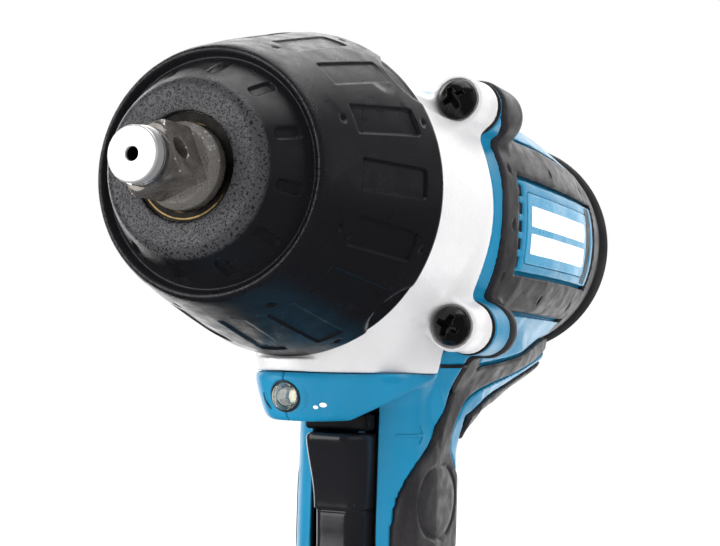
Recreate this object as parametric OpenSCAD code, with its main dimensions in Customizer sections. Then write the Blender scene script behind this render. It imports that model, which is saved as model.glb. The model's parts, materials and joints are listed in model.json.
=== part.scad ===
// Cordless half-inch impact wrench with a slide-on battery pack, in millimetres.
// +X points forward along the drive, +Y to the tool's left, +Z up. The origin is on the battery's
// underside, below the middle of the handle.

/* [Drive line] */
// Height of the drive axis above the battery's underside
axis_h = 236; // [234:1:240]
// Side of the square drive
drive_side = 12.7; // [12.4:0.1:12.7]
// Forward end of the anvil's round tip
tip_x = 138; // [137.5:0.5:140]
// Turn of the square about the drive axis, at rest
drive_turn = 22.85; // [0:0.05:45]
// Radius of the anvil's round shank
shank_r = 9.8; // [9.4:0.1:9.8]
// Outer radius of the hammer
hammer_r = 26; // [25:0.5:26]
// Rearward travel of the hammer as it lets go of the anvil
hammer_travel = 10; // [6:0.5:10]

/* [Gear train] */
// Gear module
gear_m = 0.8; // [0.8]
// Teeth on the sun pinion
sun_teeth = 9; // [9]
// Teeth on each planet
planet_teeth = 24; // [24]
// Face width of the planets
gear_w = 9.8; // [8:0.2:9.8]
// Pressure angle
pressure = 25; // [25]
// Play between meshing teeth along the pitch circle
backlash = 0.15; // [0.12:0.01:0.2]

/* [Head] */
// Largest radius of the rubber bumper
bumper_r = 40.8; // [40:0.1:41]
// Radius of the hammer case behind the bumper
case_r = 37.2; // [37:0.1:37.5]
// Joint plane between the hammer case and the housing
joint_x = 13; // [13]
// Sideways distance of the case screws from the drive axis
screw_dy = 30.3; // [30:0.1:31]
// Half the height between the upper and the lower case screws
screw_dz = 30.1; // [30:0.1:31]
// Height of the middle of the screw pattern above the drive axis
screw_z0 = -1.4; // [-1.5:0.1:-1]

/* [Housing] */
// Radius of the motor barrel at its top and bottom
barrel_r = 40; // [39.8:0.1:40.4]
// Half the width across the barrel's flat sides
side_y = 38.5; // [38.5:0.1:39]
// Radius of the hammer case at the joint with the housing
flange_r = 35.4; // [35.2:0.1:35.6]
// Rear end of the tool
rear_x = -122; // [-123:0.5:-121]
// Depth of the soft overmould below the housing's surface
skin_t = 1.6; // [1.4:0.1:1.8]
// Half the width of the grip
grip_y = 18.2; // [18:0.1:19]

/* [Battery] */
// Length of the battery pack
pack_l = 116; // [114:1:118]
// Width of the battery pack
pack_w = 75; // [74:0.5:76]
// Height of the pack's body below the rails
pack_h = 60; // [60]

/* [Controls] */
// Travel of the trigger
trigger_travel = 6.5; // [5:0.5:6.5]
// Downward travel of the battery latch
latch_travel = 4; // [3:0.5:4]

/* [Hidden] */
$fn = 64;

// Play of a running fit, on the radius
run = 0.05;
// Clearance between a moving piece and a still one
gap = 0.3;

// Head, as X stations along the drive axis
square_x = 132.4;
shoulder_x = 119.6;
nose_x = 114.5;
bumper_x = 62.5;
bush_x = 92;
jaw_x0 = 78;
jaw_x1 = 88;
dog_x = 85.4;
hammer_x0 = 48;
hammer_x1 = 77;
ball_x = 60;
shaft_r = 10;
ball_r = 2.9;
jaw_r = 24.5;

flange_seat_x = 27;
lobe_r = 7.6;
bore_r = 32.8;

// Gears
ring_teeth = sun_teeth + 2 * planet_teeth;
planet_d = gear_m * (sun_teeth + planet_teeth) / 2;
pin_r = 2.5;
gear_x = 12.6;
cheek_x = 23.4;

// Motor
motor_x0 = -76;
motor_x1 = -18;
yoke_r = 31;
magnet_r = 25;
core_r = 24;
rotor_r = 4;
comm_r = 12.5;
rear_bearing_x = -104;
cover_x = -96;

// Grip, as heights below the drive axis
chin_top = -44.3;
chin_bottom = -56.6;
grip_foot = 92;
foot_top = 84;
foot_bottom = 61;
foot_x0 = -58;
foot_x1 = 44;
foot_y = 37.2;
lever_z = -55.4;
trigger_top = -60.4;
trigger_end = -107;
trigger_back = 15;

// Battery
rail_y = 26.5;
neck_y = 21.5;
lip_top = 67.4;
rail_top = 76;
pack_x0 = -59;

// Places of the case screws, as [y, height above the axis]
CASE_SCREWS = [for (sy = [-1, 1], sz = [-1, 1]) [sy * screw_dy, screw_z0 + sz * screw_dz]];
// Places of the clamshell screws, as [x, z]
SHELL_SCREWS = [[22, axis_h - 48.6], [-19, axis_h - 58.5], [-18, 110], [14, 103], [27, 86.6], [-44, 83]];

function arc(cx, cy, r, a0, a1, n) =
    [for (i = [0:n]) let (a = a0 + (a1 - a0) * i / n) [cx + r * cos(a), cy + r * sin(a)]];

// ---------- placing ----------

// Local z runs forward along the drive axis, from X = x.
module on_axis(x = 0) {
    translate([x, 0, axis_h]) rotate([0, 90, 0]) children();
}

// A ring about the drive axis between two stations.
module ring(r_in, r_out, x0, x1) {
    on_axis(x0) difference() {
        cylinder(r = r_out, h = x1 - x0);
        if (r_in > 0) translate([0, 0, -1]) cylinder(r = r_in, h = x1 - x0 + 2);
    }
}

// A turned shape about the drive axis; its profile's points are [radius, X].
module turned(profile) {
    on_axis() rotate_extrude() polygon(profile);
}

// A flat shape in the side view, [X, height above the axis], as thick as y0 to y1.
module side_slab(y0, y1) {
    translate([0, y1, axis_h]) rotate([90, 0, 0]) linear_extrude(y1 - y0) children();
}

// Both sides of the tool.
module both_sides() {
    children();
    mirror([0, 1, 0]) children();
}

// A rod across the tool, along Y.
module cross_rod(x, z, r, y0, y1) {
    translate([x, y1, z]) rotate([90, 0, 0]) cylinder(r = r, h = y1 - y0);
}

module rounded_plan(x0, x1, y, r) {
    offset(r = r) translate([x0 + r, r - y]) square([x1 - x0 - 2 * r, 2 * (y - r)]);
}

// ---------- parts used more than once ----------

// A pan-head screw: local z points out of the head, z = 0 is under the head.
module pan_screw(r, head_r, head_h, length) {
    difference() {
        union() {
            translate([0, 0, -length]) cylinder(r = r, h = length);
            cylinder(r = head_r, h = head_h * 0.45);
            translate([0, 0, head_h * 0.45]) intersection() {
                cylinder(r = head_r, h = head_h);
                translate([0, 0, -head_r * 1.2 + head_h * 0.55]) sphere(r = head_r * 1.2);
            }
        }
        for (a = [0, 90]) rotate(a) translate([-head_r * 0.55, -head_r * 0.11, head_h * 0.3])
            cube([head_r * 1.1, head_r * 0.22, head_h]);
    }
}

// A ball bearing about the drive axis, with its races, balls and a cage left out.
module ball_bearing(r_in, r_out, x0, width, balls) {
    mid = (r_in + r_out) / 2;
    race = (r_out - r_in) * 0.28;
    ball = (r_out - r_in) * 0.26;
    on_axis(x0) {
        difference() {
            cylinder(r = r_out, h = width);
            translate([0, 0, -1]) cylinder(r = r_out - race, h = width + 2);
            translate([0, 0, width / 2]) rotate_extrude() translate([mid, 0]) circle(ball + 0.05);
        }
        difference() {
            cylinder(r = r_in + race, h = width);
            translate([0, 0, -1]) cylinder(r = r_in, h = width + 2);
            translate([0, 0, width / 2]) rotate_extrude() translate([mid, 0]) circle(ball + 0.05);
        }
        for (i = [0:balls - 1]) rotate(i * 360 / balls) translate([mid, 0, width / 2]) sphere(ball);
    }
}

// A coil spring along local z, swept with six-sided wire.
module coil(r, wire, length, turns, steps = 14, sides = 6) {
    rings = turns * steps;
    points = [for (i = [0:rings], j = [0:sides - 1])
        let (a = i * 360 / steps, b = j * 360 / sides, rr = r + wire * cos(b))
        [rr * cos(a), rr * sin(a), wire + (length - 2 * wire) * i / rings + wire * sin(b)]];
    walls = [for (i = [0:rings - 1], j = [0:sides - 1])
        let (k = (j + 1) % sides)
        [i * sides + j, i * sides + k, (i + 1) * sides + k, (i + 1) * sides + j]];
    ends = [[for (j = [sides - 1:-1:0]) j], [for (j = [0:sides - 1]) rings * sides + j]];
    polyhedron(points, concat(walls, ends), convexity = 10);
}

// Involute roll angle at radius r of a base circle rb.
function roll(rb, r) = sqrt(pow(r / rb, 2) - 1) * 180 / PI - acos(rb / r);

function gear_outline(teeth, addendum, dedendum, play, steps = 3) =
    let (
        rp = gear_m * teeth / 2,
        rb = rp * cos(pressure),
        r_root = rp - dedendum,
        r_tip = rp + addendum,
        r0 = max(rb * 1.002, r_root + 0.01),
        half = 90 / teeth - play / (2 * rp) * 180 / PI + roll(rb, rp),
        flank = [for (i = [0:steps]) let (r = r0 + (r_tip - r0) * i / steps) [r, half - roll(rb, r)]],
        tooth = concat([[r_root, -flank[0][1] - 0.3]], [for (p = flank) [p[0], -p[1]]],
            [for (i = [steps:-1:0]) flank[i]], [[r_root, flank[0][1] + 0.3]])
    )
    [for (t = [0:teeth - 1], p = tooth)
        let (a = p[1] + t * 360 / teeth) [p[0] * cos(a), p[0] * sin(a)]];

// ---------- outer forms of the housing, grown by g ----------

module barrel_form(g = 0) {
    intersection() {
        turned([[0, rear_x + 20 - g], [34 + g, rear_x + 20 - g], [36.4 + g, -94], [38.6 + g, -70],
            [barrel_r + g, -40], [39.4 + g, -14], [flange_r + 1 + g, joint_x], [0, joint_x]]);
        translate([rear_x, -side_y - g, axis_h - 60]) cube([200, 2 * side_y + 2 * g, 120]);
    }
}

module lobe_form(g = 0) {
    for (p = CASE_SCREWS) translate([0, p[0], p[1]]) {
        on_axis(-6) cylinder(r = lobe_r + g, h = joint_x + 6);
        on_axis(-6) intersection() {
            sphere(lobe_r + g);
            translate([0, 0, -5]) cube([60, 60, 10], center = true);
        }
    }
}

// Outline of the chin seen from above: a round nose and sides that widen towards the housing.
module chin_plan(g = 0) {
    hull() {
        translate([52.4, 0]) circle(12.6 + g);
        for (s = [-1, 1]) translate([16, s * 18.8]) circle(4 + g);
        translate([4, -20 - g]) square([4, 40 + 2 * g]);
    }
}

module chin_form(g = 0) {
    translate([0, 0, axis_h + chin_bottom - g]) linear_extrude(chin_top - chin_bottom + g) intersection() {
        chin_plan(g);
        translate([4, -40]) square([80, 80]);
    }
}

// Outline of the grip seen from above.
module grip_plan(g = 0) {
    hull() {
        translate([-14, 0]) circle(16 + g);
        translate([4, 0]) circle(grip_y + g);
        for (s = [-1, 1]) translate([22, s * 4]) circle(11.5 + g);
    }
}

GRIP_SIDE = [[42, -30], [42, chin_bottom - 1], [38, chin_bottom - 6], [30, -86], [24.5, -112],
    [23, 112 - axis_h], [26, grip_foot - axis_h], [30, foot_top - axis_h], [-42, foot_top - axis_h],
    [-33, grip_foot - axis_h], [-30.5, 104 - axis_h], [-31, -104], [-30, -62], [-36, -56.5],
    [-54, -53.5], [-71, -50.5], [-86, -46.5], [-95, -43], [-95, -30]];

module grip_form(g = 0) {
    intersection() {
        side_slab(-30, 30) offset(r = g) offset(r = -8) offset(r = 8) polygon(GRIP_SIDE);
        union() {
            translate([0, 0, foot_top]) linear_extrude(axis_h - foot_top - 56) grip_plan(g);
            translate([0, 0, axis_h - 57]) linear_extrude(27)
                rounded_plan(-96 - g, 44.6 + g, grip_y + 1.6 + g, 8);
            translate([0, 0, axis_h - 43]) linear_extrude(13) rounded_plan(-96 - g, joint_x, 26 + g, 12);
        }
    }
}

module foot_form(g = 0) {
    translate([0, 0, foot_bottom]) linear_extrude(foot_top - foot_bottom)
        rounded_plan(foot_x0 - g, foot_x1 + g, foot_y + g, 7);
    hull() {
        translate([0, 0, foot_top - 1]) linear_extrude(1.4)
            rounded_plan(foot_x0 + 0.4 - g, foot_x1 - 0.4 + g, foot_y - 0.4 + g, 7, $fn = 32);
        translate([0, 0, grip_foot + 2]) linear_extrude(1)
            rounded_plan(-30 - g, 33 + g, grip_y - 1 + g, 15, $fn = 32);
    }
}

// ---------- areas covered by the soft overmould, as flat shapes in the side view ----------

WINDOW = [[-6, 11], [-88, 11], [-88, -16], [-6, -14.5]];
FRAME = [[1.5, 60], [1.5, 22], [6, 18], [6, -20], [1.5, -24], [1.5, -60], [-14, -60], [-14, -29],
    [-98, -28], [-98, 22], [-14, 21.5], [-14, 60]];

module frame_mask(g = 0) {
    difference() {
        offset(delta = g) polygon(FRAME);
        offset(delta = -g) polygon(WINDOW);
    }
}

module grip_mask() {
    offset(r = -3) offset(r = 6) offset(r = -3) polygon([[-6, -40], [7, -60], [7.6, -68], [13, -76],
        [16, -90], [15, -112], [8, 108 - axis_h], [-12, 102 - axis_h], [-44, 104 - axis_h],
        [-44, -86], [-24, -78], [-9, -66], [-9, -56], [-30, -42]]);
}

// Band up the back of the grip and along the underside of the motor.
module spine_mask() {
    polygon([[-44, -100], [-24, -100], [-24, -66], [-34, -56], [-56, -46], [-92, -33], [-98, -33],
        [-98, -60], [-60, -66], [-44, -76]]);
}

module plate_outline() {
    offset(r = 1.5) polygon([[-14, 7], [-84, 7], [-84, -11], [-14, -10]]);
}

// The whole covered volume, from depth skin_t below the surface outwards.
module skin_area() {
    both_sides() {
        side_slab(20, 60) frame_mask();
        side_slab(-1, 60) grip_mask();
        side_slab(-1, 7) spine_mask();
    }
}

module skin_base(g) {
    barrel_form(g);
    lobe_form(g);
    grip_form(g);
}

// ---------- housing ----------

module shell_inside() {
    turned([[0, -130], [bore_r, -130], [bore_r, joint_x + 1], [0, joint_x + 1]]);
    // hollow of the grip, around the switch
    translate([0, 0, foot_top - 5]) linear_extrude(axis_h - foot_top - 41) intersection() {
        grip_plan(-2.6);
        translate([-60, -60]) square([76, 120]);
    }
    // slot for the trigger
    translate([trigger_back - trigger_travel - 0.5, -9.5, axis_h + trigger_end - 1])
        cube([50, 19, trigger_top - trigger_end + 2]);
    // slot for the direction lever
    translate([20, -30, axis_h + lever_z - 3.4]) cube([15, 60, 6.8]);
    translate([16, -15, axis_h + lever_z - 5]) cube([30, 30, 8.4]);
    // seat of the lamp
    translate([52, 0, axis_h - 50.6]) rotate([0, 90, 0]) cylinder(r = 3.7, h = 30);
    translate([44, -5, axis_h - 54]) cube([8.3, 10, 12]);
    // rails for the battery, open to the front
    translate([foot_x0 + 3, -neck_y - 0.7, foot_bottom - 1]) cube([200, 2 * neck_y + 1.4, 12]);
    translate([foot_x0 + 3, -rail_y - 0.7, lip_top])
        cube([200, 2 * rail_y + 1.4, rail_top + 0.7 - lip_top]);
    // recess for the latch's tooth, open to the front
    translate([28, -9, rail_top]) cube([60, 18, 5]);
    // clearance for the battery's raised front
    translate([foot_x1 - 3, -60, foot_bottom - 1]) cube([60, 120, 9]);
}

module vents() {
    for (i = [-2:2]) translate([-10.6, 30, axis_h - 1.8 + i * 5.1 - 1.6]) cube([3.2, 12, 3.2]);
}

module screw_bosses() {
    for (p = SHELL_SCREWS) cross_rod(p[0], p[1], 3.6, -16, 16);
}

module shell_holes() {
    for (p = SHELL_SCREWS) {
        cross_rod(p[0], p[1], 1.55, -30, 12);
        cross_rod(p[0], p[1], 3.5, -60, -11);
    }
    for (p = CASE_SCREWS) translate([0, p[0], p[1]]) on_axis(-5) cylinder(r = 2.45, h = 40);
    for (s = [-1, 1]) cross_rod(-6, 79.2, 3.1, s > 0 ? 30.5 : -60, s > 0 ? 60 : -30.5);
}

module housing() {
    difference() {
        union() {
            difference() {
                union() {
                    barrel_form();
                    lobe_form();
                    grip_form();
                }
                difference() {
                    skin_area();
                    skin_base(-skin_t);
                }
            }
            chin_form();
            foot_form();
        }
        difference() {
            shell_inside();
            screw_bosses();
        }
        shell_holes();
        both_sides() vents();
        // pocket for the nameplate
        both_sides() side_slab(side_y - 0.9, 60) plate_outline();
        // seats of the rear cover and of the hammer case
        translate([cover_x - 60, -60, axis_h - 60]) cube([60, 120, 120]);
        translate([joint_x, -60, axis_h + chin_top]) cube([100, 120, 120]);
    }
}

module housing_left() color("#1f8fb8") intersection() {
    housing();
    translate([-150, 0, 0]) cube([300, 80, 300]);
}

module housing_right() color("#1f8fb8") intersection() {
    housing();
    translate([-150, -80, 0]) cube([300, 80, 300]);
}

module overmould() {
    difference() {
        intersection() {
            skin_area();
            skin_base(0.6);
            translate([cover_x, 0, 0]) cube([300, 60, 300]);
        }
        skin_base(-skin_t);
        shell_inside();
        chin_form();
        foot_form();
        on_axis(joint_x) cylinder(r = 60, h = 30);
        for (p = SHELL_SCREWS) cross_rod(p[0], p[1], 3.7, -60, 60);
        translate([18, -30, axis_h + lever_z - 3.8]) cube([20, 60, 7.6]);
    }
}

module overmould_left() color("#2c2b2e") overmould();

module overmould_right() color("#2c2b2e") mirror([0, 1, 0]) overmould();

module rear_cover() color("#2f2f33") {
    difference() {
        intersection() {
            turned(concat([[0, cover_x], [36.4, cover_x], [35.6, -106]], arc(24, -110, 11.5, 20, -62, 8) ,
                [[24, rear_x + 1.2], [0, rear_x + 1.2]]));
            translate([rear_x, -side_y, axis_h - 60]) cube([60, 2 * side_y, 120]);
        }
        turned([[0, cover_x + 1], [33.8, cover_x + 1], [33.2, -106], [27, -117], [0, -118]]);
        // groove for the rubber ring
        turned([[33, -111.5], [60, -111.5], [60, -118], [31, -118]]);
        for (a = [-40:20:40], s = [0, 180]) on_axis(-130) rotate(a + s)
            translate([16, -1.6, 0]) cube([9, 3.2, 20]);
        for (s = [-1, 1]) translate([0, 0, s * 26]) {
            on_axis(rear_x - 1) cylinder(r = 3.3, h = 4);
            on_axis(rear_x) cylinder(r = 1.65, h = 20);
        }
    }
    // cup of the rear bearing
    difference() {
        ring(9.5, 12, -118.2, -98);
        ring(0, 9.5, -104.2, -90);
    }
}

module rear_bumper() color("#2c2b2e") {
    difference() {
        turned([[33, -111.5], [37.1, -111.5], [36.6, -115], [34, -118], [31, -118]]);
        translate([rear_x, side_y - 1, axis_h - 60]) cube([60, 60, 120]);
        translate([rear_x, -side_y - 59, axis_h - 60]) cube([60, 60, 120]);
    }
}

module rear_screws() color("#3a3a3d") {
    for (s = [-1, 1]) translate([0, 0, s * 26]) on_axis(rear_x + 3) mirror([0, 0, 1])
        pan_screw(1.6, 3, 1.9, 12);
}

module housing_screws() color("#3a3a3d") {
    for (p = SHELL_SCREWS) translate([p[0], -11, p[1]]) rotate([90, 0, 0]) pan_screw(1.5, 3, 2.2, 20);
}

// ---------- head ----------

CASE_OUT = [[flange_r, joint_x], [36.2, 30], [case_r, 48], [case_r, bumper_x], [36.4, 66], [35, 74],
    [32.8, 82], [30.4, 90], [28, 95], [25.2, 100], [22.4, 104], [16.6, nose_x - 1], [15.6, nose_x]];

module case_flange() {
    // four lobes around the screws, blended with the round case
    on_axis(joint_x) linear_extrude(3) offset(r = -6) offset(r = 6) union() {
        circle(flange_r);
        for (p = CASE_SCREWS) translate([-p[1], p[0]]) circle(6.4);
    }
}

module chin_block(h, end_x) {
    translate([0, 0, axis_h + chin_top]) linear_extrude(h) intersection() {
        chin_plan(-0.4);
        translate([joint_x, -40]) square([end_x - joint_x, 80]);
    }
}

module hammer_case() color("silver") {
    difference() {
        union() {
            turned(concat([[0, joint_x]], CASE_OUT, [[0, nose_x]]));
            case_flange();
            for (p = CASE_SCREWS) translate([0, p[0], p[1]])
                on_axis(joint_x) cylinder(r1 = 6.2, r2 = 6.7, h = flange_seat_x - joint_x);
            // webs between the bosses and the round case
            for (p = CASE_SCREWS) on_axis(joint_x) rotate(atan2(p[0], -p[1]))
                translate([30, -3, 0]) cube([12, 6, 12]);
            // block that rests on the chin of the housing
            chin_block(20, bumper_x);
            chin_block(-chin_top - bumper_r - 0.1, bumper_x + 10);
            ring(30, bore_r - 0.2, 9.2, joint_x);
        }
        turned([[0, 0], [30, 0], [30, 24], [29.5, 25], [29.5, 72], [27.5, 78], [27.5, 89.4], [13.4, 89.4],
            [13.4, nose_x - 1.4], [11.6, nose_x - 1.4], [11.6, nose_x + 1], [0, nose_x + 1]]);
        for (p = CASE_SCREWS) translate([0, p[0], p[1]]) {
            on_axis(joint_x - 5) cylinder(r = 2.6, h = 30);
            on_axis(flange_seat_x - 0.6) cylinder(r = 5.8, h = 6);
        }
        translate([joint_x - 1, -13, axis_h - 44.4]) cube([40, 26, 6]);
    }
}

module case_screws() color("#3c3b40") {
    for (p = CASE_SCREWS) translate([0, p[0], p[1]]) on_axis(flange_seat_x - 0.6)
        rotate(p[1] > 0 ? 30 : 0) pan_screw(2.4, 5.5, 4.2, 30);
}

module case_gasket() color("#1c1c1e") {
    ring(bore_r - 0.18, bore_r - 0.02, 9.4, joint_x - 0.2);
}

BUMPER_FRONT = [[12.2, 117.2], [17.6, 117.5], [19.4, 116.8], [20.4, 115.4], [26.2, 104.9], [27.2, 106.7],
    [28, 107.2], [28.9, 106.3], [29.8, 104], [31, 100], [33.5, 92], [36.8, 80], [38.8, 72.4],
    [bumper_r, bumper_x + 1.1], [40.2, bumper_x]];

module bumper() color("#2b2a2d") {
    difference() {
        turned(concat([for (i = [3:len(CASE_OUT) - 1]) CASE_OUT[i]], [[12.2, nose_x]], BUMPER_FRONT));
        // slots in the cone and panels on the barrel
        for (i = [0:11]) on_axis() rotate(19.5 + 30 * i) translate([24.6, -0.7, 107.6]) cube([4, 1.4, 3.6]);
        for (i = [0:15]) on_axis() rotate(1 + 22.5 * i) translate([37.6, -3.8, 70]) cube([6, 7.6, 4]);
        // shallow scallops in front of the case screws
        for (p = CASE_SCREWS) on_axis(58) rotate(atan2(p[0], -p[1]))
            translate([50, 0, 0]) cylinder(r = 10.4, h = 11);
    }
}

module anvil_bushing() color("#b88a4a") ring(shank_r + run, 13.4, bush_x, nose_x - 1.4);

module nose_ring() color("#c9a24e") ring(shank_r + gap, 12.1, nose_x, nose_x + 1.6);

module anvil() color("#b9bcc0") {
    difference() {
        union() {
            turned([[0, jaw_x0], [12.5, jaw_x0], [12.5, jaw_x1], [12.2, jaw_x1 + 1], [shank_r, jaw_x1 + 1],
                [shank_r, shoulder_x - 1.6], [8.4, shoulder_x + 0.9], [0, shoulder_x + 0.9]]);
            on_axis() rotate(drive_turn) intersection() {
                translate([-drive_side / 2, -drive_side / 2, shoulder_x])
                    cube([drive_side, drive_side, square_x - shoulder_x]);
                cylinder(r = 8.75, h = 200);
            }
            turned([[0, square_x - 1], [6, square_x - 1], [6, tip_x - 4.6], [4.2, tip_x - 4.6],
                [4.2, tip_x - 2.9], [6, tip_x - 2.9], [6.1, tip_x - 0.5], [5.6, tip_x], [0, tip_x]]);
            for (a = [0, 180]) on_axis(jaw_x0) rotate(a) intersection() {
                translate([0, -5, 0.3]) cube([40, 10, jaw_x1 - jaw_x0 - 0.3]);
                cylinder(r = jaw_r, h = 12);
            }
        }
        // seat of the spindle's nose
        on_axis(jaw_x0 - 1) cylinder(r = 5 + run, h = 12.4);
        // centre mark in the tip
        on_axis(tip_x - 1.2) cylinder(r = 1.1, h = 3);
        // detent hole across the square
        translate([tip_x - 9.8, 0, axis_h]) rotate([drive_turn, 0, 0]) rotate([90, 0, 0])
            cylinder(r = 2.5, h = 40, center = true);
    }
}

module socket_ring() color("#d0d2d4") {
    on_axis(tip_x - 4.5) difference() {
        cylinder(r = 6.35, h = 1.5);
        translate([0, 0, -1]) cylinder(r = 5.3, h = 4);
        translate([3, -1.6, -1]) cube([6, 3.2, 4]);
    }
}

module socket_o_ring() color("#1c1c1e") {
    on_axis(tip_x - 3.75) rotate_extrude() translate([4.75, 0]) circle(0.5);
}

// ---------- hammer mechanism ----------

module spindle() color("#9a9da1") {
    difference() {
        union() {
            turned([[0, 34], [shaft_r, 34], [shaft_r, 71], [9, 72], [5, 72], [5, 88.6], [0, 88.6]]);
            turned([[0, cheek_x], [21, cheek_x], [21, 29], [15, 30.5], [15, 34], [0, 34]]);
            ring(0, 18, 9.2, gear_x - 0.4);
            ring(0, 12, 2, 9.2);
            // webs that join the cheeks between the planets
            for (s = [-1, 1]) translate([gear_x - 0.5, s > 0 ? 7 : -17, axis_h - 4])
                cube([cheek_x - gear_x + 1, 10, 8]);
        }
        // way in for the sun pinion
        on_axis(1) cylinder(r = 4.9, h = 22);
        for (s = [-1, 1]) translate([0, 0, s * planet_d]) on_axis(7) cylinder(r = pin_r, h = 22);
        // pockets for the cam balls
        for (s = [-1, 1]) translate([ball_x, s * 9.4, axis_h]) sphere(ball_r + 0.05);
    }
}

module planet_pins() color("#c4c6c9") {
    for (s = [-1, 1]) translate([0, 0, s * planet_d]) on_axis(9.3) cylinder(r = pin_r, h = 19.5);
}

module cam_balls() color("#d6d8da") {
    for (s = [-1, 1]) translate([ball_x, s * 9.4, axis_h]) sphere(ball_r);
}

module hammer_spring() color("#6d7074") {
    on_axis(34.6) coil(17, 1.7, 65.2 - 34.6, 5);
}

module hammer() color("#85888c") {
    difference() {
        union() {
            turned([[0, hammer_x0], [hammer_r - 1, hammer_x0], [hammer_r, hammer_x0 + 1],
                [hammer_r, hammer_x1], [0, hammer_x1]]);
            // dogs that strike the anvil's jaws
            for (a = [90, 270]) on_axis(hammer_x1 - 0.5) rotate(a) intersection() {
                difference() {
                    cylinder(r = hammer_r, h = dog_x - hammer_x1 + 0.5);
                    translate([0, 0, -1]) cylinder(r = 14, h = 20);
                }
                rotate(-26) cube([40, 40, 20]);
                rotate(-64) cube([40, 40, 20]);
            }
        }
        on_axis() cylinder(r = shaft_r + run, h = 200);
        // pocket for the spring
        turned([[14, hammer_x0 - 1], [20.4, hammer_x0 - 1], [20.4, 65.5], [14, 65.5]]);
        // grooves that let the hammer run back over the cam balls
        for (s = [-1, 1]) translate([0, s * 9.4, 0]) on_axis(ball_x) {
            sphere(ball_r + gap);
            cylinder(r = ball_r + gap, h = hammer_travel + 1);
            translate([0, 0, hammer_travel + 1]) sphere(ball_r + gap);
        }
    }
}

module planet(turn) {
    on_axis(gear_x) rotate(turn) difference() {
        linear_extrude(gear_w) polygon(gear_outline(planet_teeth, 0.64, 0.85, backlash / 2));
        translate([0, 0, -1]) cylinder(r = pin_r + run, h = gear_w + 2);
    }
}

module planet_gear_1() color("#a7aaae") translate([0, 0, -planet_d]) planet(180 / planet_teeth);

module planet_gear_2() color("#a7aaae") translate([0, 0, planet_d]) planet(0);

module ring_gear() color("#8d9094") {
    on_axis(gear_x - 1.6) difference() {
        cylinder(r = 29.9, h = gear_w + 2.6);
        translate([0, 0, -1]) rotate(180 / ring_teeth) linear_extrude(gear_w + 6)
            polygon(gear_outline(ring_teeth, 0.85, 0.64, -backlash / 2, 2));
    }
}

module gearbox_plate() color("#4a4a4e") {
    turned([[9.5, -5], [12, -5], [14, -2], [bore_r - 0.1, -2], [bore_r - 0.1, 6], [29.8, 6],
        [29.8, 8.9], [20, 8.9], [20, 2], [7, 2], [7, 1], [9.5, 1]]);
}

module spindle_bearing() color("#c2c4c6") ball_bearing(12 + run, 20, 2.1, 6.7, 11);

module rotor_front_bearing() color("#c2c4c6") ball_bearing(rotor_r + run, 9.5, -5, 5.9, 7);

module rotor_rear_bearing() color("#c2c4c6") ball_bearing(rotor_r + run, 9.5, rear_bearing_x, 5.9, 7);

// ---------- motor ----------

module rotor_shaft() color("#a9acb0") {
    ring(0, rotor_r, rear_bearing_x - 1, 2.2);
    on_axis(2.2) linear_extrude(20.2) polygon(gear_outline(sun_teeth, 0.64, 0.8, backlash / 2));
}

module rotor_core() color("#77797c") {
    on_axis(motor_x0 + 6) difference() {
        cylinder(r = core_r, h = 46);
        translate([0, 0, -1]) cylinder(r = rotor_r, h = 48);
        for (i = [0:11]) rotate(i * 30) translate([0, 0, -1]) {
            translate([11, -2.2, 0]) cube([10, 4.4, 48]);
            translate([20, -0.9, 0]) cube([6, 1.8, 48]);
        }
    }
}

module rotor_windings() color("#b0602f") {
    for (x = [motor_x0 + 0.6, motor_x0 + 52.2]) on_axis(x) rotate_extrude() translate([9, 0])
        offset(r = 2) offset(delta = -2) square([12, 5.3]);
    for (i = [0:11]) on_axis(motor_x0 + 5.8) rotate(i * 30) translate([11.4, -1.8, 0]) cube([9, 3.6, 46.5]);
}

module commutator() color("#c07a45") {
    on_axis(-92) difference() {
        cylinder(r = comm_r, h = 12);
        translate([0, 0, -1]) cylinder(r = rotor_r, h = 14);
        for (i = [0:23]) rotate(i * 15) translate([comm_r - 0.8, -0.2, -1]) cube([2, 0.4, 12]);
    }
}

module fan() color("#33353a") {
    difference() {
        union() {
            ring(0, 8, -14.6, -6.2);
            ring(0, 27, -14.6, -13.2);
            for (i = [0:16]) on_axis(-13.3) rotate(i * 360 / 17) translate([13, -0.7, 0])
                rotate(25) cube([13, 1.4, 5.6]);
        }
        on_axis(-20) cylinder(r = rotor_r, h = 20);
    }
}

module motor_yoke() color("#8b8e92") ring(28.2, yoke_r, motor_x0, motor_x1);

module motor_magnets() color("#55575b") {
    for (i = [0:3]) on_axis(motor_x0 + 6) intersection() {
        difference() {
            cylinder(r = 28.2, h = 46);
            translate([0, 0, -1]) cylinder(r = magnet_r, h = 48);
        }
        rotate(i * 90 + 10) cube([40, 40, 100]);
        rotate(i * 90 - 10) cube([40, 40, 100]);
    }
}

module brush_holder() color("#3b3431") {
    difference() {
        union() {
            ring(15, bore_r - 0.1, -82, -79.4);
            both_sides() translate([-92, 14, axis_h - 7.5]) cube([10.5, 17, 15]);
        }
        both_sides() translate([-90, 12, axis_h - 5.5]) cube([7, 17.8, 11]);
        on_axis(-100) cylinder(r = 14, h = 40);
    }
}

module carbon_brushes() color("#2f2f33") {
    both_sides() difference() {
        translate([-89.9, comm_r - 1, axis_h - 5.4]) cube([6.8, 13, 10.8]);
        on_axis(-100) cylinder(r = comm_r + gap, h = 40);
    }
}

module brush_springs() color("#a8a9ab") {
    both_sides() translate([-86.5, comm_r + 12.1, axis_h]) rotate([-90, 0, 0]) coil(2.2, 0.35, 5, 4, 10, 6);
}

// ---------- controls ----------

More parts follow.
